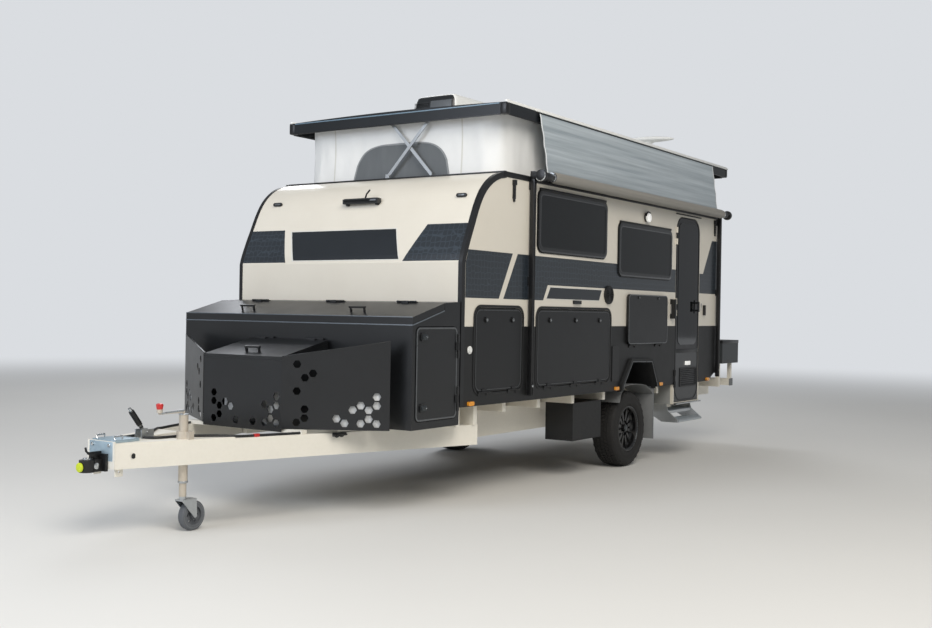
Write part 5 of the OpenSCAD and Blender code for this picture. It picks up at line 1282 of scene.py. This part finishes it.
fold = [(LID_FRONT, LID_LOW), (LID_FRONT + 6 / math.hypot(1, slope), LID_LOW + 6 * slope),
        (LID_FRONT - 1.5, LID_LOW + 3), (LID_FRONT - 2, LID_LOW - 3)]
prism("lid_front_fold", on_side(fold, 1 - HALF), (0, 2 * HALF - 2, 0), lid_edge_highlight, "tool_lid", 0.4)
WING_IN, WING_OUT = (-1110, 390), (-700, 1035)


def wing_line(side):
    """A wing's inner end, its direction and the direction straight back from it."""
    a, b = (Vector((x, side * y, 0)) for x, y in (WING_IN, WING_OUT))
    run = (b - a).normalized()
    return a, b, run, Vector((abs(run.y), -side * run.x, 0))


for side, word in SIDES:
    a, b, run, back = wing_line(side)
    quad = [p - back * 6 + Vector((0, 0, z)) for p, z in ((a, 1139), (b, 1256), (b, 1262), (a, 1145))]
    prism(f"wing_top_fold_{word}", [tuple(q) for q in quad], tuple(back * 16), box_coat, ROOT, 0.8)

# %% [markdown]
# The two bottles stand in the gas box on its floor. Each is turned about its upright
# axis, so it is lofted through circles: foot ring, wall, shoulder, neck and valve guard.
# A pale liner with dark studs stands behind the outer end of each wing.

# %% Behind the perforations
bottle_paint = surface("gas_bottle_paint", "#E4E5E4", "#F2F2F0", 120, 0.42, 0.08, 0.3)
pale_sheet = surface("bare_aluminium_sheet", "#C4C6C7", "#D8DADB", 60, 0.5, 0.08, 0.2, Metallic=0.2)
BOTTLE = ((640, 122), (640, 132), (652, 134), (655, 150), (690, 152), (960, 152), (1000, 146), (1035, 116),
          (1050, 74), (1054, 30), (1085, 28), (1086, 2))
for y, word in ((-190, "near"), (190, "far")):
    loft(f"gas_bottle_{word}", [circle((-880, y, z), "z", (r, r), 40) for z, r in BOTTLE], bottle_paint)
for side, word in SIDES:
    a, b, run, back = wing_line(side)
    p, q = a + run * 350 + back * 16, a + run * 730 + back * 16
    sheet_loop = [(p.x, p.y, 640), (q.x, q.y, 640), (q.x, q.y, 930), (p.x, p.y, 930)]
    prism(f"wing_liner_{word}", sheet_loop, tuple(back * 2), pale_sheet, ROOT, 0.3)
    for k in range(2):
        c = a + run * (380 + 320 * k) + back * 9
        box(f"wing_liner_stud_{word}_{k + 1}", (c.x - 9, c.y - 9, 905), (c.x + 9, c.y + 9, 920),
            black_anodised, ROOT, 1)

# %% [markdown]
# ## Drawbar gear
# On the drawbar stand the coupling with its coloured end buffer, the parking-brake
# lever with a ribbed grip and the jockey stand's crank with a red knob. Galvanised
# parts stay pale and dull, and zinc-plated ones are brighter or bluish.

# %% Drawbar pieces
yellow_rubber = surface("yellow_green_rubber", "#B9C81E", "#C9D632", 30, 0.5, 0.06, 0.2)
blue_zinc = surface("blue_zinc_plate", "#8FA6B4", "#B4C6D0", 35, 0.4, 0.08, 0.3, Metallic=0.5)
red_coat = surface("red_coating", "#B01C1A", "#C42A24", 20, 0.35, 0.06, 0.1, Coat_Weight=0.3)
COUPLE_X = -2400
disc("coupling_buffer", (COUPLE_X - 88, 0, 470), "x", 30, -12, yellow_rubber, ROOT, 32, 3)
disc("coupling_pin_head", (COUPLE_X - 40, 0, 512), "z", 26, 12, polished, ROOT, 32, 2)
disc("coupling_pivot_near", (COUPLE_X, -38, 474), "y", 20, -8, polished, ROOT, 28, 1.5)
box("coupling_catch", (COUPLE_X - 20, -10, 522), (COUPLE_X + 48, 10, 548), black_steel, ROOT, 4)
handle = [(COUPLE_X + dx, 0, z) for dx, z in ((-20, 545), (-46, 566), (-52, 590))]
tube("coupling_catch_handle", handle, 7, black_steel)
NOSE_X, DECK_TOP = -2334.8, 613
box("nose_face_plate", (NOSE_X, -112, 500), (NOSE_X + 2.8, 112, 622), blue_zinc, ROOT, 1)
for side, word in NEAR_FAR:
    disc(f"nose_bolt_{word}", (NOSE_X, side * 80, 600), "x", 12, -8, polished, ROOT, 6, 1)
box("chain_block", (-2316, -110, DECK_TOP), (-2120, 110, DECK_TOP + 19), blue_zinc, ROOT, 3)
for side, word in NEAR_FAR:
    bow = [(x, side * 86, z) for x, z in ((-2300, 630), (-2300, 652), (-2240, 654), (-2238, 630))]
    tube(f"catch_bracket_{word}", bow, 6, polished)
disc("rail_bolt_near", (-2218, -170.5, 530), "y", 17, -3, black_steel, ROOT, 24, 1)


def lever_part(name, start, end, radius, material, sides):
    """A round piece on the handbrake's lever, from start to end along it."""
    lean = math.radians(38)
    run = Vector((-math.sin(lean), 0, math.cos(lean)))
    pivot = Vector((-1990, 0, 653))
    tube(name, [tuple(pivot + run * start), tuple(pivot + run * end)], radius, material, sides=sides)


lever_part("handbrake_shaft", 40, 70, 13, black_steel, 16)
lever_part("handbrake_sleeve", 62, 181, 17.8, seal_rubber, 28)
for k in range(7):
    lever_part(f"handbrake_rib_{k + 1}", 74 + 15 * k, 82 + 15 * k, 19.2, seal_rubber, 24)
lever_part("handbrake_button", 181, 205, 11, polished, 20)
JX, CRANK = -1848, 204
arm_path = [(JX - back, -JY, z) for back, z in ((0, 796), (20, 797), (185, 790), (CRANK, 800), (CRANK, 812))]
tube("crank_arm", arm_path, 8, bright_zinc)
KNOB = ((800, 10), (802, 16), (812, 18), (828, 21), (846, 24), (852, 22), (856, 12), (857, 1))
loft("crank_knob", [circle((JX - CRANK, -JY, z), "z", (r, r), 28) for z, r in KNOB], red_coat)
disc("jockey_cap", (JX, -JY, 770), "z", 34, 8, bright_zinc, ROOT, 36, 2)
disc("jockey_collar", (JX, -JY, 322), "z", 33, 14, bright_zinc, ROOT, 36, 2)

# %% [markdown]
# ## Two cables on the drawbar
# The brake cable leaves the handbrake's bracket, and the lamp cable leaves the block at
# the nose. Each is about 1.1 m long and 18 mm thick with its conduit, and stiff enough
# for wide bends. It lies on the deck, goes round the jockey stand's collar, runs back on
# top of its rail and ends inside the cross bearer under the gas box. The points are
# given one cable diameter's half above what they lie on, and y counts outwards.

# %% Cables
cable = surface("black_cable_jacket", "#0C0D0E", "#15171A", 12, 0.45, 0.08, 0.2)
CABLE_R = 9


def flowing(points, count=34):
    """A smooth path of count points through points, straight at both ends."""
    pts = [Vector(q) for q in points]
    pts = [2 * pts[0] - pts[1]] + pts + [2 * pts[-1] - pts[-2]]
    path = []
    for i in range(count):
        t = (len(pts) - 3) * i / (count - 1)
        k = min(int(t), len(pts) - 4)
        path.append(tuple(curve_point(*pts[k:k + 4], t - k)))
    return path


RAIL_RUN = [(-1560, 368, 618), (-1500, 398, 614), (-1400, 437, 614), (-1300, 473, 614), (-1200, 510, 614),
            (-1070, 556, 614)]
routes = {
    "brake_cable": (-1, [(-2020, 26, 622), (-2020, 56, 622), (-1998, 98, 622), (-1948, 124, 622),
                         (-1850, 136, 622), (-1760, 180, 622), (-1660, 276, 622)]),
    "lamp_cable": (1, [(-2130, 70, 622), (-2050, 84, 622), (-1948, 112, 622), (-1850, 146, 622),
                       (-1760, 196, 622), (-1660, 282, 622)]),
}
for name, (side, start) in routes.items():
    line = flowing([(x, side * y, z) for x, y, z in start + RAIL_RUN])
    cord = tube(name, line, CABLE_R, cable, sides=14)
    path = [((x + STEP_X) / 1000, (y + STEP_Y) / 1000, z / 1000) for x, y, z in line]
box("front_cable_clip", (-1420, -452, 604), (-1380, -424, 626), red_coat, ROOT, 3)

# %% [markdown]
# ## Under and behind
# Beside the near rail a bracket holds the chains, with a red shackle behind it. The
# folded mudguard shows in the wheel arch above the tyre, with a flap behind the wheel.

# %% Side of the chassis
rod = [(-860, -648, 596), (-860, -700, 600), (-790, -712, 600), (-790, -660, 596)]
tube("chain_bracket_rod", rod, 9, black_steel)
for k in range(6):
    link = circle((-878 + 26 * k, -690 + 4 * (k % 2), 588), "y" if k % 2 else "z", (20, 12), 20)
    tube(f"chain_link_{k + 1}", link, 5, black_steel, sides=8, closed=True)
bow = []
for degrees in range(-60, 241, 12):
    a = math.radians(degrees)
    bow.append((-226 + 30 * math.cos(a), -806, 555 + 30 * math.sin(a)))
tube("shackle_bow", bow, 8, red_coat)
tube("shackle_pin", [(-262, -806, 528), (-190, -806, 528)], 7, red_coat)
FLAP_X, GUARD_Y0, GUARD_Y1 = 3489.6, 855, 1125
fender = surface("grey_mudguard_plastic", "#6C6E6F", "#7D7F80", 160, 0.5, 0.08, 0.3)
GUARD = [(2742, 640), (2775, 722), (2850, 792), (2960, 800), (3130, 800), (3240, 792), (3330, 778),
         (3440, 720), (3486, 690)]
for side, word in SIDES:
    lower = [(x, z - 4) for x, z in reversed(GUARD)]
    prism(f"mudguard_{word}", on_side(GUARD + lower, side * GUARD_Y0), (0, side * (GUARD_Y1 - GUARD_Y0), 0),
          fender, ROOT, 1)
    flap = [(FLAP_X, side * y, z) for y, z in ((GUARD_Y0 + 1, 238), (GUARD_Y1 + 1, 238), (GUARD_Y1 + 1, 742),
                                               (GUARD_Y0 + 1, 742))]
    prism(f"flap_sheet_{word}", flap, (-2.5, 0, 0), fender, ROOT, 0.5)
    y = side * (HALF + CLAD)
    # The pale rim on the black arch is a painted highlight
    rim = [(2703, 762), (2703, 802), (2892, 1029), (3331, 1017), (3488, 741), (3479, 741), (3327, 1009),
           (2897, 1021), (2711, 799), (2711, 762)]
    prism(f"arch_edge_{word}", on_side(rim, y + side * 30), (0, side * 2, 0), lip_light, ROOT, 0.5)

# %% [markdown]
# A dark lining hides the cut edge of the wall inside the wheel arch. The awning's arms
# are nested channels: a slim outer channel with a groove, and a head with a round cap.

# %% Arch lining and awning arms
ARCH = [(2711, 745), (2711, 799), (2897, 1021), (3327, 1009), (3479, 745)]
for side, word in SIDES:
    for k, (p, q) in enumerate(zip(ARCH, ARCH[1:])):
        run = Vector((q[0] - p[0], q[1] - p[1])).normalized()
        inn = (run.y * 2, -run.x * 2)
        quad = [p, q, (q[0] + inn[0], q[1] + inn[1]), (p[0] + inn[0], p[1] + inn[1])]
        prism(f"arch_lining_{word}_{k + 1}", on_side(quad, side * 1112), (0, side * 43, 0), moulded, ROOT, 0)
CHANNEL = [(-17, -1162), (17, -1162), (17, -1202), (8, -1202), (8, -1192), (-8, -1192), (-8, -1202),
           (-17, -1202)]
arm = None
for x, word, way in ((975, "front", 1), (5055, "rear", -1)):
    made = prism(f"awning_channel_{word}", [(x + a, b, 802) for a, b in CHANNEL], (0, 0, 1830),
                 black_anodised, ROOT, 1.5)
    arm = arm or made
    box(f"awning_inner_arm_{word}", (x - 6, -1200, 900), (x + 6, -1193, 2560), fitting_abs, ROOT, 1)
    for k, z in enumerate((840, 1700, 2480)):
        back = -HALF if z > BELT else -HALF - CLAD
        box(f"awning_foot_{word}_{k + 1}", (x - 21, -1164, z), (x + 21, back, z + 70), black_anodised, ROOT,
            2)
    box(f"awning_head_{word}", (x - 22, ROLL_Y - 24, ROLL_Z - 26), (x + 22, -1160, ROLL_Z + 30),
        black_anodised, ROOT, 8)
    xa, xb = sorted((x, x + way * 138))
    disc(f"awning_head_cap_{word}", (xa, ROLL_Y, ROLL_Z), "x", 33, xb - xa, black_anodised, ROOT, 40, 4)
    disc(f"awning_foot_pivot_{word}", (x, -1203, 880), "y", 11, -5, polished, ROOT, 24, 1)
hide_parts("awning_arms")

# %% [markdown]
# The step's two treads are pressed aluminium with raised ribs along them, 16 mm apart.

# %% Step treads
tread_metal = surface("ribbed_tread_aluminium", "#AEB6BB", "#CBD2D6", 25, 0.38, 0.08, 0.3, Metallic=0.75)
TREAD_PITCH = 16
for k, (y0, y1, z) in enumerate(((-1096, -904, 483), (-1216, -1044, 400))):
    for j in range(int((y1 - y0) / TREAD_PITCH)):
        y = y0 + 5 + TREAD_PITCH * j
        box(f"tread_{k + 1}_rib_{j + 1}", (3908, y, z), (4492, y + 7, z + 3.5), tread_metal, ROOT, 0.8)
tube("step_edge", [(3902, -1222, 386), (4498, -1222, 386)], 12, tread_metal, sides=14)

# %% [markdown]
# ## Rear lamps and box
# Each rear lamp has a red, an amber and a clear field behind one lens frame. Nothing
# is written on the plate carrier or the box.

# %% Rear pieces
RX = BODY_LEN + CLAD
LAMP_FACE = RX + 30
clear_lens = surface("clear_lamp_lens", "#C9CDCE", "#DADDDD", 30, 0.12, 0.04, IOR=1.49, Coat_Weight=0.5)
amber_lens = surface("amber_lamp_lens", "#D98210", "#E8951E", 30, 0.15, 0.04, IOR=1.49, Coat_Weight=0.5)
for side, word in NEAR_FAR:
    y0, y1 = sorted((side * 900, side * 1080))
    ring_plate(f"tail_frame_{word}", [(LAMP_FACE, a, b) for a, b in rounded(y0 - 6, 1114, y1 + 6, 1326, 24)],
               [(LAMP_FACE, a, b) for a, b in rounded(y0 + 8, 1128, y1 - 8, 1312, 14)], (3, 0, 0),
               fitting_abs, ROOT, 1)
    for field, z0, z1, colour in (("amber", 1134, 1176, amber_lens), ("clear", 1182, 1220, clear_lens)):
        box(f"tail_{field}_{word}", (LAMP_FACE - 1, y0 + 14, z0), (LAMP_FACE + 2, y1 - 14, z1), colour, ROOT, 1)
box("plate_carrier", (RX, 420, 1110), (RX + 4, 800, 1245), black_anodised, ROOT, 1.5)
box("plate_blank", (RX + 4, 424, 1114), (RX + 6, 796, 1241), white_abs, ROOT, 0.8)
box("plate_lamp", (RX, 560, 1252), (RX + 26, 660, 1276), fitting_abs, ROOT, 3)
box("rear_box_lid", (5306, -1144, 1163), (5810, -686, 1199), box_coat, ROOT, 4)
for k, y in enumerate((-1040, -790)):
    box(f"rear_box_latch_{k + 1}", (5806, y - 22, 1120), (5818, y + 22, 1180), latch_metal, ROOT, 3)
for word, y in (("near", -1090), ("far", 1084)):
    box(f"bumper_end_{word}", (5676, y - 8, 668), (5764, y + 8, 752), flap_rubber, ROOT, 6)
box("high_stop_lamp", (BODY_LEN, -170, 2470), (BODY_LEN + 20, 170, 2496), lens, ROOT, 3)
for side, word in NEAR_FAR:
    loop = [(BODY_LEN, side * 1010 + a, 2470 + b) for a, b in rounded(*MARKER)]
    prism(f"rear_marker_{word}", loop, (16, 0, 0), seal_rubber, ROOT, 3)

# %% [markdown]
# ## Studio
# A pale floor and an even soft light show the object at a plain level. The camera
# stands where the picture of the real caravan was taken: 1.48 m above the ground,
# ahead of the entry side, with a 44 mm lens.

# %% Floor, light and camera
floor_paint = surface("studio_floor", "#D9D8D4", "#DEDDD9", 2600, 0.7, 0.05)
# Far out the floor runs into the backdrop's tone, so no horizon line shows
tree, skin, place = parts_of(floor_paint)
reach = add(tree, "ShaderNodeVectorMath", {0: place.outputs["Object"]}, operation="LENGTH")
fade = add(tree, "ShaderNodeMapRange", {"Value": reach.outputs["Value"], "From Min": 9.0, "From Max": 26.0},
           interpolation_type="SMOOTHSTEP")
BACKDROP = srgb("#DADDE1")
glow = add(tree, "ShaderNodeEmission", {"Color": BACKDROP})
mixed = add(tree, "ShaderNodeMixShader", {0: fade.outputs["Result"], 1: skin.outputs["BSDF"],
                                          2: glow.outputs["Emission"]})
tree.links.new(mixed.outputs["Shader"], tree.nodes["Material Output"].inputs["Surface"])
half = 60.0
mesh = bpy.data.meshes.new("studio_floor")
mesh.from_pydata([(-half, -half, 0), (half, -half, 0), (half, half, 0), (-half, half, 0)], [], [(0, 1, 2, 3)])
mesh.materials.append(floor_paint)
floor = bpy.data.objects.new("studio_floor", mesh)
bpy.context.scene.collection.objects.link(floor)

world = bpy.data.worlds.new("soft_room")
bpy.context.scene.world = world
world.use_nodes = True
tree = world.node_tree
sky = tree.nodes["Background"]
sky.inputs["Color"].default_value = BACKDROP
path = add(tree, "ShaderNodeLightPath")
seen = add(tree, "ShaderNodeMath", {0: path.outputs["Is Camera Ray"], 1: path.outputs["Is Transmission Ray"]},
           operation="MAXIMUM")
power = add(tree, "ShaderNodeMapRange", {"Value": seen.outputs["Value"], "To Min": 0.42, "To Max": 1.0})
tree.links.new(power.outputs["Result"], sky.inputs["Strength"])


def lamp(name, spot, aim, size, watts, colour):
    """A square soft light at spot that shines at aim."""
    data = bpy.data.lights.new(name, "AREA")
    data.shape, data.size, data.energy = "SQUARE", size, watts
    data.color = srgb(colour)[:3]
    made = bpy.data.objects.new(name, data)
    made.location = spot
    made.rotation_mode = "QUATERNION"
    made.rotation_quaternion = (Vector(aim) - Vector(spot)).to_track_quat("-Z", "Y")
    bpy.context.scene.collection.objects.link(made)


lamp("key_light", (-7, -8, 9), (0, 0, 1.5), 7, 1150, "#FFF9F0")
lamp("front_light", (-12, 2, 6), (-1, 0, 1.5), 6, 620, "#EAF2FF")
lamp("back_light", (8, 8, 9), (0, 0, 1.5), 7, 500, "#F6F9FF")

eye = bpy.data.cameras.new("photo_camera")
eye.sensor_width, eye.lens = 36.0, 43.83
eye.clip_end = 200
camera = bpy.data.objects.new("photo_camera", eye)
bpy.context.scene.collection.objects.link(camera)
YAW, PITCH, ROLL = (math.radians(v) for v in (33.907, -0.119, 0.946))
ahead = Vector((math.cos(YAW) * math.cos(PITCH), math.sin(YAW) * math.cos(PITCH), math.sin(PITCH)))
right = Vector((math.sin(YAW), -math.cos(YAW), 0))
above = right.cross(ahead)
right, above = (math.cos(ROLL) * right + math.sin(ROLL) * above,
                math.cos(ROLL) * above - math.sin(ROLL) * right)
turn = Matrix((right, above, -ahead)).transposed().to_4x4()
EYE = (-7007.8, -5905.0, 1477.6)
camera.matrix_world = Matrix.Translation(at(*EYE)) @ turn
bpy.context.scene.camera = camera
bpy.context.scene.view_settings.view_transform = "Standard"
print("camera at", [round(v, 3) for v in camera.location])
